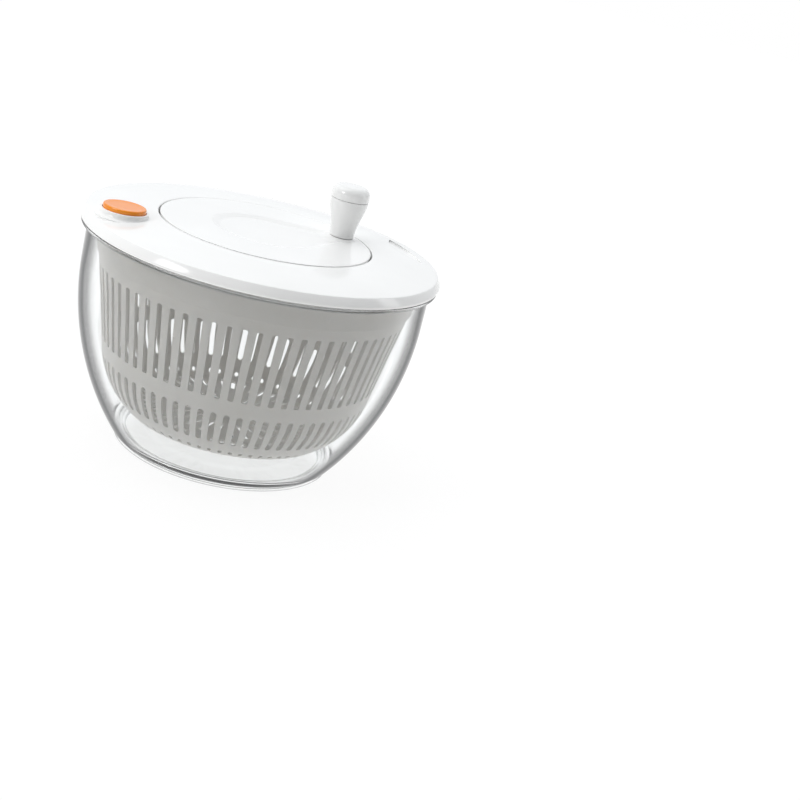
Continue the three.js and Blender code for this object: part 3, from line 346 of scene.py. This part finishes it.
def turned_steel(name, centre):
    """Stainless steel off the lathe: rings round its axis, brighter and duller by turns."""
    made, tree = blank(name)
    place = add(tree, "TexCoord").outputs["Object"]
    moved = {"Vector": place, "Location": (-centre[0] * MM, -centre[1] * MM, 0)}
    about = add(tree, "Mapping", moved).outputs["Vector"]
    # A wave repeats every 0.314 / Scale metres: 1.9 mm here, drawn six times as coarse as the
    # 0.3 mm feed of a real lathe, so that it shows.
    pitch = {"Vector": about, "Scale": 1 / 0.006, "Distortion": 0.3, "Detail": 2.0}
    kind = {"wave_type": "RINGS", "rings_direction": "Z"}
    rings = add(tree, "TexWave", pitch, **kind).outputs["Fac"]
    gloss = add(tree, "MapRange", {"Value": rings, "To Min": 0.2, "To Max": 0.34})
    tint = add(tree, "ValToRGB", {"Fac": rings})
    tint.color_ramp.elements[0].color = linear("#B9BCC0")
    tint.color_ramp.elements[1].color = linear("#CDD0D3")
    lines = add(tree, "Bump", {"Height": rings, "Strength": 0.1, "Distance": 0.00002})
    skin = {
        "Base Color": tint.outputs["Color"],
        "Metallic": 1.0,
        "Roughness": gloss.outputs["Result"],
        "Normal": lines.outputs["Normal"],
    }
    add(tree, "OutputMaterial", {"Surface": add(tree, "BsdfPrincipled", skin).outputs[0]})
    return made


low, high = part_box("pivot_pin")
PIN_RADIUS = high.x / MM
PIN_LOW = low.z / MM
PIN_TOP = high.z / MM
round_end = arc((0, PIN_TOP - PIN_RADIUS), PIN_RADIUS, 0, 90, 8)
pin_section = [(0, PIN_LOW), (PIN_RADIUS, PIN_LOW), *round_end]
pin = turned("pivot_pin_turned", pin_section, [(PIN_RADIUS, PIN_LOW, 0.4)], steps=32)
centre_steel = turned_steel("stainless_turned", (0, 0))
belongs(pin, centre_steel, "bowl", "steel", "pivot_pin")

# ---------------------------------------------------------------- spindle cap
# An acetal cap snapped into the basket's hub, the bearing between basket and pin. Moulded
# acetal is off-white, waxy and slightly mottled.


def moulded(name, dark, light, roughness, flow_mm, peel_mm, peel, ior=1.5, glow=0.0):
    """Opaque moulded plastic. Flow marks shade its colour and gloss, and a fine orange peel
    lifts its skin. glow is the share of light that goes in and comes out near by."""
    made, tree = blank(name)
    place = add(tree, "TexCoord").outputs["Object"]
    flow = add(tree, "TexNoise", {"Vector": place, "Scale": 1000 / flow_mm, "Detail": 3.0})
    tint = add(tree, "ValToRGB", {"Fac": flow.outputs["Fac"]})
    tint.color_ramp.elements[0].position = 0.3
    tint.color_ramp.elements[0].color = linear(dark)
    tint.color_ramp.elements[1].position = 0.7
    tint.color_ramp.elements[1].color = linear(light)
    spread = {"Value": flow.outputs["Fac"], "To Min": roughness * 0.8, "To Max": roughness * 1.2}
    gloss = add(tree, "MapRange", spread)
    skin_noise = add(tree, "TexNoise", {"Vector": place, "Scale": 1000 / peel_mm, "Detail": 2.0})
    lift = {"Height": skin_noise.outputs["Fac"], "Strength": 1.0, "Distance": peel * MM}
    skin = {
        "Base Color": tint.outputs["Color"],
        "Roughness": gloss.outputs["Result"],
        "Normal": add(tree, "Bump", lift).outputs["Normal"],
        "IOR": ior,
        "Subsurface Weight": glow,
        "Subsurface Scale": 2 * MM,
        "Subsurface Radius": (1.0, 0.95, 0.9),
    }
    add(tree, "OutputMaterial", {"Surface": add(tree, "BsdfPrincipled", skin).outputs[0]})
    return made


low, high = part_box("spindle_cap")
CAP_FLANGE = high.x / MM
CAP_FLANGE_TOP = low.z / MM + 1.6
CAP_LOW = low.z / MM
CAP_TOP = high.z / MM
CAP_RADIUS = 5.2
CAP_BORE = 2.4
CAP_BORE_END = PIN_TOP + 0.3
cap = turned(
    "spindle_cap_moulded",
    [
        (0, CAP_BORE_END),
        (CAP_BORE, CAP_BORE_END),
        (CAP_BORE, CAP_LOW),
        (CAP_FLANGE, CAP_LOW),
        (CAP_FLANGE, CAP_FLANGE_TOP),
        (CAP_RADIUS, CAP_FLANGE_TOP),
        (CAP_RADIUS, CAP_TOP),
        (0, CAP_TOP),
    ],
    [(CAP_FLANGE, CAP_LOW, 0.4), (CAP_FLANGE, CAP_FLANGE_TOP, 0.4), (CAP_RADIUS, CAP_TOP, 0.5)],
    steps=64,
)
acetal = moulded("acetal_moulded", "#E8E4D8", "#F2EFE6", 0.42, 6, 0.8, 0.004, ior=1.48, glow=0.1)
belongs(cap, acetal, "spindle", "acetal", "spindle_cap")

# ---------------------------------------------------------------- basket
# Milky polypropylene, moulded in one piece: satin, waxy, and it lets a little light through.
# Two rows of slots and a row of holes let the water out; four ribs in its mouth drive it.
low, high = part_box("basket")
BASKET_BASE = low.z / MM
BASKET_TOP = high.z / MM
BASKET_RIM = high.x / MM
BASKET_WALL = 1.8
BASE_RADIUS = 75
SHOULDER = (99.9, 62)
BAND = (113.4, 136)
BAND_STEP = 1.2
MOUTH_RADIUS = BASKET_RIM - 2.6
HUB_TOP = BASKET_BASE + 9 + BASKET_WALL
HUB_RADIUS = 9.5
HUB_FOOT = 12.5
CAP_SEAT = 5.5
CAP_SEAT_END = BASKET_BASE + 7.8
SLOTS = 70


def basket_side(inset):
    """The basket's outside from base to band: an arc that runs on into a cone."""
    lean = math.atan2(BAND[0] - SHOULDER[0], BAND[1] - SHOULDER[1])
    out, up = SHOULDER[0] - BASE_RADIUS, SHOULDER[1] - BASKET_BASE
    radius = (out**2 + up**2) / (2 * (out * math.cos(lean) - up * math.sin(lean)))
    centre = (SHOULDER[0] - radius * math.cos(lean), SHOULDER[1] + radius * math.sin(lean))
    floor_height = BASKET_BASE + inset
    start = -math.degrees(math.asin((centre[1] - floor_height) / (radius - inset)))
    curve = arc(centre, radius - inset, start, -math.degrees(lean), 24)
    return [*curve, (BAND[0] - inset / math.cos(lean), BAND[1])]


outside = basket_side(0)
inside = basket_side(BASKET_WALL)[::-1]
rim_under = BASKET_TOP - BASKET_WALL
basket = turned(
    "basket_milky",
    [
        (0, CAP_SEAT_END),
        (CAP_SEAT, CAP_SEAT_END),
        (CAP_SEAT, BASKET_BASE),
        *outside,
        (BAND[0] + BAND_STEP, BAND[1]),
        (MOUTH_RADIUS, rim_under),
        (BASKET_RIM, rim_under),
        (BASKET_RIM, BASKET_TOP),
        (MOUTH_RADIUS - BASKET_WALL, BASKET_TOP),
        *inside,
        (HUB_FOOT, BASKET_BASE + BASKET_WALL),
        (HUB_RADIUS, HUB_TOP),
        (0, HUB_TOP),
    ],
    [
        (*outside[0], 1.2),
        (BAND[0] + BAND_STEP, BAND[1], 0.4),
        (MOUTH_RADIUS, rim_under, 0.5),
        (BASKET_RIM, rim_under, 0.5),
        (BASKET_RIM, BASKET_TOP, 0.5),
        (MOUTH_RADIUS - BASKET_WALL, BASKET_TOP, 0.5),
        (*inside[-1], 1.5),
        (HUB_FOOT, BASKET_BASE + BASKET_WALL, 1.0),
        (HUB_RADIUS, HUB_TOP, 1.0),
    ],
    steps=4 * SLOTS,
)


def joined(name, pieces):
    """Several meshes made one object."""
    bpy.ops.object.select_all(action="DESELECT")
    for each in pieces:
        each.select_set(True)
    bpy.context.view_layer.objects.active = pieces[0]
    bpy.ops.object.join()
    pieces[0].name = name
    return pieces[0]


def boolean(made, tool, operation="DIFFERENCE"):
    """Cuts the tool out of a piece, or joins the two, and removes the tool."""
    bpy.ops.object.select_all(action="DESELECT")
    made.select_set(True)
    bpy.context.view_layer.objects.active = made
    step = made.modifiers.new("boolean", "BOOLEAN")
    step.operation = operation
    step.solver = "MANIFOLD"
    step.object = tool
    bpy.ops.object.modifier_apply(modifier=step.name)
    bpy.data.objects.remove(tool)


def smoothed(made, crease):
    """Shades a cut piece smooth again, but for edges sharper than the crease in degrees."""
    bpy.ops.object.select_all(action="DESELECT")
    made.select_set(True)
    bpy.context.view_layer.objects.active = made
    bpy.ops.object.shade_smooth_by_angle(angle=math.radians(crease))


def block(size, middle, fillet, axis):
    """A box with the four edges along one axis (0, 1 or 2) rounded."""
    bpy.ops.object.select_all(action="DESELECT")
    bpy.ops.mesh.primitive_cube_add(size=1, location=[m * MM for m in middle])
    made = bpy.context.object
    made.scale = [s * MM for s in size]
    bpy.ops.object.transform_apply(location=True, scale=True)
    bpy.ops.object.mode_set(mode="EDIT")
    bpy.ops.mesh.select_mode(type="EDGE")
    mesh = bmesh.from_edit_mesh(made.data)
    for edge in mesh.edges:
        along = edge.verts[1].co - edge.verts[0].co
        edge.select_set(abs(along[axis]) > along.length * 0.99)
    bmesh.update_edit_mesh(made.data)
    bpy.ops.mesh.bevel(offset=fillet * MM, segments=4, affect="EDGES")
    bpy.ops.mesh.select_mode(type="VERT")
    bpy.ops.object.mode_set(mode="OBJECT")
    return made


def ring_of(made, count, first=0):
    """Copies a tool count times round the +Z axis and joins the copies."""
    copies = []
    for i in range(count):
        copy = bpy.data.objects.new(made.name, made.data.copy())
        scene.collection.objects.link(copy)
        copy.rotation_euler = (0, 0, math.radians(first + 360 * i / count))
        copies.append(copy)
    bpy.data.objects.remove(made)
    bpy.ops.object.select_all(action="DESELECT")
    for copy in copies:
        copy.select_set(True)
    bpy.context.view_layer.objects.active = copies[0]
    bpy.ops.object.transform_apply(location=False, rotation=True, scale=False)
    return joined("tool", copies)


SLOT_WIDTH = 4.2
SLOT_START = 70
LONG_SLOT = (73.5, BAND[1] - 8.3)
SHORT_SLOT = (37, 62.5)
slot_tools = []
for (slot_low, slot_high), corner in ((LONG_SLOT, 1.3), (SHORT_SLOT, 2.0)):
    reach = (BASKET_RIM - SLOT_START, SLOT_WIDTH, slot_high - slot_low)
    middle = ((BASKET_RIM + SLOT_START) / 2, 0, (slot_low + slot_high) / 2)
    slot_tools.append(block(reach, middle, corner, 0))
HOLE_RADIUS = 1.6
hole_place = ((BASE_RADIUS + 6.5) * MM, 0, (BASKET_BASE + 4.5) * MM)
bpy.ops.object.select_all(action="DESELECT")
bpy.ops.mesh.primitive_cylinder_add(
    vertices=16,
    radius=HOLE_RADIUS * MM,
    depth=12 * MM,
    location=hole_place,
    rotation=(0, math.pi / 2, 0),
)
slot_tools.append(bpy.context.object)
bpy.ops.object.transform_apply(location=True, rotation=True)
boolean(basket, ring_of(joined("tool", slot_tools), SLOTS))
for count, first, last, width in ((48, 52.5, 69.5, 3.2), (24, 22, 46, 3.4)):
    middle = ((first + last) / 2, 0, BASKET_BASE + 1)
    floor_slot = block((last - first, width, 8), middle, width / 2 - 0.1, 2)
    boolean(basket, ring_of(floor_slot, count))
RIB = (3.9, 3, 9)
RIBS = 4
RIB_TURN = 180 / SLOTS
rib_place = (MOUTH_RADIUS - BASKET_WALL - 1.05, 0, BASKET_TOP - 0.3 - RIB[2] / 2)
boolean(basket, ring_of(block(RIB, rib_place, 0.6, 2), RIBS, RIB_TURN), "UNION")
smoothed(basket, 35)
milky = moulded("polypropylene_milky", "#EEEBE5", "#F4F1EC", 0.38, 45, 1.2, 0.01, ior=1.49, glow=0.25)
belongs(basket, milky, "basket", "milky", "basket")

# ---------------------------------------------------------------- lid
# Polished white ABS: a shallow dome that turns down at a crisp edge into a sloping side. A
# round well takes the crank and a flared collar the brake button; a lens-shaped recess lies
# at the far side.
low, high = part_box("lid_shell")
LID_RADIUS = high.x / MM
LID_SEAT = LIP_TOP + 0.3
EDGE_RADIUS = LID_RADIUS - 3
EDGE_Z = LID_SEAT + 7.1
LID_HOLE = 62
WELL_RADIUS = 77.6
WELL_TOP = EDGE_Z + 3.9
LEDGE = LID_SEAT + 2.3
LID_WALL = 2.2
SKIRT = BOWL_RADIUS - BOWL_WALL - 0.6
SKIRT_LOW = LIP_TOP - 3.4


def dome_height(radius):
    """Height of the lid's top at a radius."""
    return WELL_TOP + (EDGE_Z - WELL_TOP) * ((radius - WELL_RADIUS) / (EDGE_RADIUS - WELL_RADIUS)) ** 2


def dome(start, end, drop, steps=24):
    """Points along the lid's top, or below it by a drop."""
    radii = [start + (end - start) * i / steps for i in range(steps + 1)]
    return [(r, dome_height(r) - drop) for r in radii]


lid = turned(
    "lid_polished",
    [
        (LID_HOLE, LEDGE - LID_WALL),
        (LID_HOLE, LEDGE),
        (WELL_RADIUS, LEDGE),
        *dome(WELL_RADIUS, EDGE_RADIUS, 0),
        (LID_RADIUS, LID_SEAT + 1.7),
        (LID_RADIUS - 0.5, LID_SEAT),
        (LID_RADIUS - 2.7, LID_SEAT),
        (LID_RADIUS - 2.7, EDGE_Z - 3.2),
        (SKIRT, dome_height(SKIRT) - LID_WALL),
        (SKIRT, SKIRT_LOW),
        (SKIRT - LID_WALL, SKIRT_LOW),
        *dome(SKIRT - LID_WALL, WELL_RADIUS + LID_WALL, LID_WALL),
        (WELL_RADIUS + LID_WALL, LEDGE - LID_WALL),
    ],
    [
        (LID_HOLE, LEDGE, 0.4),
        (WELL_RADIUS, LEDGE, 0.5),
        (WELL_RADIUS, WELL_TOP, 0.5),
        (EDGE_RADIUS, EDGE_Z, 0.5),
        (LID_RADIUS, LID_SEAT + 1.7, 0.7),
        (SKIRT, SKIRT_LOW, 0.6),
        (SKIRT - LID_WALL, SKIRT_LOW, 0.6),
    ],
    steps=320,
)


def cylinder(radius, low, high, centre=(0, 0), vertices=96):
    """A plain cylinder between two heights, as a tool to cut or join with."""
    bpy.ops.object.select_all(action="DESELECT")
    middle = (centre[0] * MM, centre[1] * MM, (low + high) / 2 * MM)
    depth = (high - low) * MM
    bpy.ops.mesh.primitive_cylinder_add(
        vertices=vertices, radius=radius * MM, depth=depth, location=middle
    )
    made = bpy.context.object
    bpy.ops.object.transform_apply(location=True)
    return made


low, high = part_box("brake_button")
BUTTON = ((low.x + high.x) / 2 / MM, 0)
BUTTON_RADIUS = (high.x - low.x) / 2 / MM
BUTTON_TOP = high.z / MM
BUTTON_LOW = low.z / MM
COLLAR_TOP = BUTTON_TOP - 2.8
COLLAR_RADIUS = BUTTON_RADIUS + 2
BRAKE_FLOOR = EDGE_Z - 0.6
collar_foot = dome_height(-BUTTON[0])
flare = arc((COLLAR_RADIUS + 3.2, collar_foot + 2.4), 3.2, 180, 262, 8)
collar = turned(
    "collar",
    [
        (0, BRAKE_FLOOR - LID_WALL),
        (COLLAR_RADIUS, BRAKE_FLOOR - LID_WALL),
        (flare[-1][0], flare[-1][1] - 1.6),
        *flare[::-1],
        (COLLAR_RADIUS, COLLAR_TOP),
        (0, COLLAR_TOP),
    ],
    [(COLLAR_RADIUS, COLLAR_TOP, 0.5)],
    centre=BUTTON,
    steps=96,
)
boolean(lid, collar, "UNION")
boolean(lid, cylinder(BUTTON_RADIUS + 0.4, BRAKE_FLOOR, COLLAR_TOP + 1, BUTTON))
boolean(lid, cylinder(5, BRAKE_FLOOR - LID_WALL - 4.6, BRAKE_FLOOR - 1, BUTTON, 48), "UNION")
boolean(lid, cylinder(3.2, BRAKE_FLOOR - LID_WALL - 6, BRAKE_FLOOR + 1, BUTTON, 48))

LENS_OUTER = 117.5
LENS_INNER = 104.5
LENS_HALF = math.radians(14)
LENS_DEPTH = 1.2
LENS_WALL = 1.4
LENS_FLOOR = dome_height(LENS_OUTER) - LENS_DEPTH


def lens(grow, low, high):
    """A lens-shaped prism: the lid's own round, and a flatter arc that bulges inwards."""
    reach = LENS_OUTER * math.cos(LENS_HALF)
    half_chord = LENS_OUTER * math.sin(LENS_HALF)
    bulge = reach - LENS_INNER
    radius = (half_chord**2 + bulge**2) / (2 * bulge)
    made = cylinder(LENS_OUTER + grow, low, high, vertices=720)
    other = cylinder(radius + grow, low - 1, high + 1, (LENS_INNER + radius, 0), 320)
    boolean(made, other, "INTERSECT")
    return made


boolean(lid, lens(LID_WALL, LENS_FLOOR - LENS_WALL, LENS_FLOOR + 0.65), "UNION")
boolean(lid, lens(0, LENS_FLOOR, WELL_TOP + 1))
SCREW = (69.5, 0)
SCREWS = 4
SCREW_TURN = 45
SCREW_HOLE = 1.6
screw_boss = cylinder(3.5, LEDGE - 1, LEDGE + 4.2, SCREW, 32)
boolean(lid, ring_of(screw_boss, SCREWS, SCREW_TURN), "UNION")
screw_bore = cylinder(SCREW_HOLE, LEDGE - LID_WALL - 1, LEDGE + 3.2, SCREW, 24)
boolean(lid, ring_of(screw_bore, SCREWS, SCREW_TURN))
smoothed(lid, 30)
white = moulded("abs_white_polished", "#F4F4F3", "#F8F8F7", 0.13, 60, 2.5, 0.0006, ior=1.54)
belongs(lid, white, "lid", "white", "lid_shell")

# ---------------------------------------------------------------- gear housing
# A shallow white ABS pan screwed up under the lid. Its floor carries the idlers' pins and
# the bush for the sun gear's hub.
low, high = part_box("gear_housing")
HOUSING_LOW = low.z / MM
HOUSING_TOP = high.z / MM
HOUSING_RADIUS = 61.7
FLANGE = high.x / MM
FLANGE_LOW = HOUSING_TOP - 2
PAN_WALL = 2
PAN_FLOOR = HOUSING_LOW + PAN_WALL
BUSH_HOLE = 10
IDLER = (33.6, 0)
IDLERS = 3
housing = turned(
    "gear_housing_moulded",
    [
        (BUSH_HOLE, HOUSING_LOW),
        (HOUSING_RADIUS, HOUSING_LOW),
        (HOUSING_RADIUS, FLANGE_LOW),
        (FLANGE, FLANGE_LOW),
        (FLANGE, HOUSING_TOP),
        (HOUSING_RADIUS - PAN_WALL, HOUSING_TOP),
        (HOUSING_RADIUS - PAN_WALL, PAN_FLOOR),
        (BUSH_HOLE, PAN_FLOOR),
    ],
    [
        (HOUSING_RADIUS, HOUSING_LOW, 1.0),
        (HOUSING_RADIUS, FLANGE_LOW, 0.6),
        (FLANGE, FLANGE_LOW, 0.5),
        (FLANGE, HOUSING_TOP, 0.5),
        (HOUSING_RADIUS - PAN_WALL, PAN_FLOOR, 0.8),
    ],
    steps=192,
)
pin_seat = cylinder(4, PAN_FLOOR - 1, PAN_FLOOR + 0.7, IDLER, 32)
boolean(housing, ring_of(pin_seat, IDLERS), "UNION")
pin_hole = cylinder(2.3, HOUSING_LOW - 1, PAN_FLOOR + 2, IDLER, 32)
boolean(housing, ring_of(pin_hole, IDLERS))
screw_hole = cylinder(SCREW_HOLE, FLANGE_LOW - 1, HOUSING_TOP + 1, SCREW, 24)
boolean(housing, ring_of(screw_hole, SCREWS, SCREW_TURN))
smoothed(housing, 30)
inner_white = moulded("abs_white_as_moulded", "#ECECEA", "#F2F2F0", 0.3, 40, 1.5, 0.002, ior=1.54)
belongs(housing, inner_white, "lid", "white", "gear_housing")

# ---------------------------------------------------------------- crank disc
# The same polished ABS: a flat round handle flush in the lid's well. A shallow dish runs out
# in a drop shape to the knob's foot, where it sweeps up to meet it.
low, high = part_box("crank_disc")
DISC_TOP = WELL_TOP + 0.3
DISC_RADIUS = high.x / MM
DISC_UNDER = DISC_TOP - 2.6
DISC_LOW = DISC_UNDER - 3.2
DISC_RIM = DISC_RADIUS - 2
DISC_BOSS = 8
DISC_BOSS_LOW = low.z / MM
MIDDLE_UNDER = DISC_UNDER - 0.65
DISC_HOLE = 3.3
DISH_RADIUS = 39.8
DISH_DEPTH = 1.3
low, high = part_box("knob_pin")
KNOB = ((low.x + high.x) / 2 / MM, (low.y + high.y) / 2 / MM)
low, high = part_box("knob_body")
KNOB_FOOT = low.z / MM
KNOB_FOOT_RADIUS = 9.1
disc = turned(
    "crank_disc_polished",
    [
        (0, DISC_BOSS_LOW),
        (DISC_BOSS, DISC_BOSS_LOW),
        (DISC_BOSS, MIDDLE_UNDER),
        (36, MIDDLE_UNDER),
        (40, DISC_UNDER),
        (DISC_RIM, DISC_UNDER),
        (DISC_RIM, DISC_LOW),
        (DISC_RADIUS, DISC_LOW),
        (DISC_RADIUS, DISC_TOP),
        (0, DISC_TOP),
    ],
    [
        (DISC_BOSS, DISC_BOSS_LOW, 0.5),
        (DISC_RIM, DISC_LOW, 0.4),
        (DISC_RADIUS, DISC_LOW, 0.4),
        (DISC_RADIUS, DISC_TOP, 0.6),
    ],
    steps=320,
)


def frustum(low_radius, high_radius, low, high, centre, vertices):
    """A truncated cone between two heights."""
    bpy.ops.object.select_all(action="DESELECT")
    middle = (centre[0] * MM, centre[1] * MM, (low + high) / 2 * MM)
    bpy.ops.mesh.primitive_cone_add(
        vertices=vertices,
        radius1=low_radius * MM,
        radius2=high_radius * MM,
        depth=(high - low) * MM,
        location=middle,
    )
    made = bpy.context.object
    bpy.ops.object.transform_apply(location=True)
    return made


DISH_FLOOR = DISC_TOP - DISH_DEPTH
DISH_SLOPE = 6
ends = []
for radius, centre, vertices in ((DISH_RADIUS, (0, 0), 256), (KNOB_FOOT_RADIUS, KNOB, 96)):
    floor_radius, over = radius - DISH_SLOPE, radius + 0.9
    ends.append(frustum(floor_radius, over, DISH_FLOOR, DISC_TOP + 0.2, centre, vertices))
drop = joined("dish", ends)
bpy.ops.object.mode_set(mode="EDIT")
bpy.ops.mesh.select_all(action="SELECT")
bpy.ops.mesh.convex_hull()
bpy.ops.object.mode_set(mode="OBJECT")
boolean(disc, drop)
PEDESTAL_TOP = KNOB_FOOT - 0.4
FLARE = 9
horn = [
    (KNOB_FOOT_RADIUS + FLARE * (1 - t), DISH_FLOOR + (PEDESTAL_TOP - DISH_FLOOR) * t * t)
    for t in [i / 12 for i in range(13)]
]
pedestal = turned(
    "pedestal",
    [(0, DISC_UNDER + 0.5), (horn[0][0], DISC_UNDER + 0.5), *horn, (0, PEDESTAL_TOP)],
    centre=KNOB,
    steps=96,
)
boolean(pedestal, cylinder(DISC_RADIUS - 1, DISC_UNDER, PEDESTAL_TOP + 1, vertices=192), "INTERSECT")
boolean(disc, pedestal, "UNION")
boolean(disc, cylinder(DISC_HOLE, DISC_UNDER - 1, PEDESTAL_TOP + 1, KNOB, 48))
boolean(disc, cylinder(DISC_HOLE, DISC_BOSS_LOW - 1, DISH_FLOOR - 1.2, vertices=48))
RING_SCREW = (58.2, 0)
RING_SCREWS = 3
RING_SCREW_TURN = 66
ring_pad = cylinder(3.6, DISC_UNDER - 1.4, DISC_UNDER + 0.4, RING_SCREW, 32)
boolean(disc, ring_of(ring_pad, RING_SCREWS, RING_SCREW_TURN), "UNION")
ring_bore = cylinder(1.4, DISC_UNDER - 2, DISC_TOP - 1.2, RING_SCREW, 24)
boolean(disc, ring_of(ring_bore, RING_SCREWS, RING_SCREW_TURN))
smoothed(disc, 10)
belongs(disc, white, "crank", "white", "crank_disc")

# ---------------------------------------------------------------- knob
# Two polished white ABS mouldings: a body that swells from its foot, and a domed cap pushed
# into it that hides washer and nut. The joint shows as a fine line.
low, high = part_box("knob_body")
SEAM = high.z / MM
KNOB_RADIUS = (high.x - low.x) / 2 / MM
POCKET = 8
POCKET_LOW = SEAM - 9
KNOB_HOLE = 3.4
swell = []
for i in range(25):
    share = i / 24
    ease = (1 - math.cos(math.pi * share**1.15)) / 2
    radius = KNOB_FOOT_RADIUS + (KNOB_RADIUS - KNOB_FOOT_RADIUS) * ease
    swell.append((radius, KNOB_FOOT + (SEAM - KNOB_FOOT) * share))
knob = turned(
    "knob_body_polished",
    [(KNOB_HOLE, KNOB_FOOT), *swell, (POCKET, SEAM), (POCKET, POCKET_LOW), (KNOB_HOLE, POCKET_LOW)],
    [(*swell[0], 0.4), (*swell[-1], 0.25)],
    centre=KNOB,
    steps=96,
)
belongs(knob, white, "knob", "white", "knob_body")

low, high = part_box("knob_cap")
CAP_JOINT = SEAM + 0.3
KNOB_TOP = high.z / MM
PLUG = POCKET - 0.3
PLUG_LOW = CAP_JOINT - 2.5
PLUG_HOLLOW = 6.2
CROWN = 5.8
crown = arc((KNOB_RADIUS - CROWN, KNOB_TOP - 0.4 - CROWN), CROWN, 0, 84, 10)
edge_radius, edge_height = crown[-1]
for share in (0.35, 0.7, 1):
    rise = (KNOB_TOP - edge_height) * math.sin(share * math.pi / 2)
    crown.append((edge_radius * (1 - share), edge_height + rise))
knob_cap = turned(
    "knob_cap_polished",
    [
        (0, CAP_JOINT),
        (PLUG_HOLLOW, CAP_JOINT),
        (PLUG_HOLLOW, PLUG_LOW),
        (PLUG, PLUG_LOW),
        (PLUG, CAP_JOINT),
        (KNOB_RADIUS, CAP_JOINT),
        *crown,
    ],
    [(KNOB_RADIUS, CAP_JOINT, 0.25)],
    centre=KNOB,
    steps=96,
)
belongs(knob_cap, white, "knob", "white", "knob_cap")

# ---------------------------------------------------------------- brake
# An orange polished ABS button slides in the collar. Its white stem presses a grey rubber
# shoe on the driving plate, and a steel spring lifts it again.
BUTTON_WALL = 1.8
BUTTON_UNDER = BUTTON_TOP - 2.2
STEM_SEAT = 3.1
SOCKET_RADIUS = 4.5
SOCKET_LOW = BUTTON_TOP - 4.8
button = turned(
    "brake_button_orange",
    [
        (BUTTON_RADIUS, BUTTON_LOW),
        (BUTTON_RADIUS, BUTTON_TOP),
        (BUTTON_RADIUS - 2.4, BUTTON_TOP),
        (BUTTON_RADIUS - 4.5, BUTTON_TOP - 0.25),
        (0, BUTTON_TOP - 0.3),
        (0, BUTTON_UNDER),
        (STEM_SEAT, BUTTON_UNDER),
        (STEM_SEAT, SOCKET_LOW),
        (SOCKET_RADIUS, SOCKET_LOW),
        (SOCKET_RADIUS, BUTTON_UNDER),
        (BUTTON_RADIUS - BUTTON_WALL, BUTTON_UNDER),
        (BUTTON_RADIUS - BUTTON_WALL, BUTTON_LOW),
    ],
    [
        (BUTTON_RADIUS, BUTTON_TOP, 1.0),
        (BUTTON_RADIUS - 2.4, BUTTON_TOP, 0.8),
        (BUTTON_RADIUS - 4.5, BUTTON_TOP - 0.25, 0.8),
        (BUTTON_RADIUS, BUTTON_LOW, 0.3),
    ],
    centre=BUTTON,
    steps=96,
)
orange = moulded("abs_orange_polished", "#F48A08", "#FA9614", 0.2, 20, 1.5, 0.001, ior=1.54)
belongs(button, orange, "brake", "orange", "brake_button")

low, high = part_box("brake_shoe")
SHOE_LOW = low.z / MM
SHOE_TOP = high.z / MM
SHOE_RADIUS = 8
shoe = turned(
    "brake_shoe_rubber",
    [
        (0, SHOE_LOW),
        (SHOE_RADIUS, SHOE_LOW),
        (SHOE_RADIUS, SHOE_TOP),
        (STEM_SEAT, SHOE_TOP),
        (STEM_SEAT, SHOE_TOP - 1.5),
        (0, SHOE_TOP - 1.5),
    ],
    [(SHOE_RADIUS, SHOE_LOW, 0.6), (SHOE_RADIUS, SHOE_TOP, 0.3)],
    centre=BUTTON,
    steps=64,
)
rubber = moulded("rubber_grey_moulded", "#4B4E50", "#595C5E", 0.8, 8, 0.4, 0.02, ior=1.52)
belongs(shoe, rubber, "brake", "grey_rubber", "brake_shoe")

low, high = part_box("brake_stem")
STEM_LOW = low.z / MM
STEM_TOP = high.z / MM
STEM_RADIUS = STEM_SEAT - 0.3
stem = turned(
    "brake_stem_moulded",
    [(0, STEM_LOW), (STEM_RADIUS, STEM_LOW), (STEM_RADIUS, STEM_TOP), (0, STEM_TOP)],
    [(STEM_RADIUS, STEM_LOW, 0.3), (STEM_RADIUS, STEM_TOP, 0.3)],
    centre=BUTTON,
    steps=48,
)
belongs(stem, inner_white, "brake", "white", "brake_stem")

# ---------------------------------------------------------------- driving plate
# A white ABS plate on the hub's hexagon, with six holes to save weight and four notches that
# take the basket's ribs.
low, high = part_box("driving_plate")
PLATE_LOW = low.z / MM
PLATE_TOP = high.z / MM
PLATE_RADIUS = high.x / MM
plate = turned(
    "driving_plate_moulded",
    [(0, PLATE_LOW), (PLATE_RADIUS, PLATE_LOW), (PLATE_RADIUS, PLATE_TOP), (0, PLATE_TOP)],
    [(PLATE_RADIUS, PLATE_LOW, 0.6), (PLATE_RADIUS, PLATE_TOP, 0.6)],
    steps=192,
)
boolean(plate, cylinder(6.5, PLATE_LOW - 1, PLATE_TOP + 1, vertices=6))
LIGHT_HOLE = (68, 0)
LIGHT_HOLES = 6
light_hole = cylinder(12, PLATE_LOW - 1, PLATE_TOP + 1, LIGHT_HOLE, 48)
boolean(plate, ring_of(light_hole, LIGHT_HOLES, 30))
notch = block((6, RIB[1] + 2, 6), (MOUTH_RADIUS - BASKET_WALL - 1, 0, PLATE_LOW + 1), 0.6, 2)
boolean(plate, ring_of(notch, RIBS, RIB_TURN))
smoothed(plate, 30)
belongs(plate, inner_white, "drive", "white", "driving_plate")

# ---------------------------------------------------------------- hidden running gear
# Gears and bush are acetal as moulded, and pins, screws, axle, washers, clip, nut and spring
# are steel. Their shapes come from the frame, and each keeps its own turned rings.
for name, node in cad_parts.items():
    if node.hide_render:
        continue
    low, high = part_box(name)
    if "gear" in name or "bush" in name:
        finish = acetal
    else:
        middle = ((low.x + high.x) / 2 / MM, (low.y + high.y) / 2 / MM)
        finish = turned_steel("stainless_" + name, middle)
    node.data.materials.clear()
    node.data.materials.append(finish)
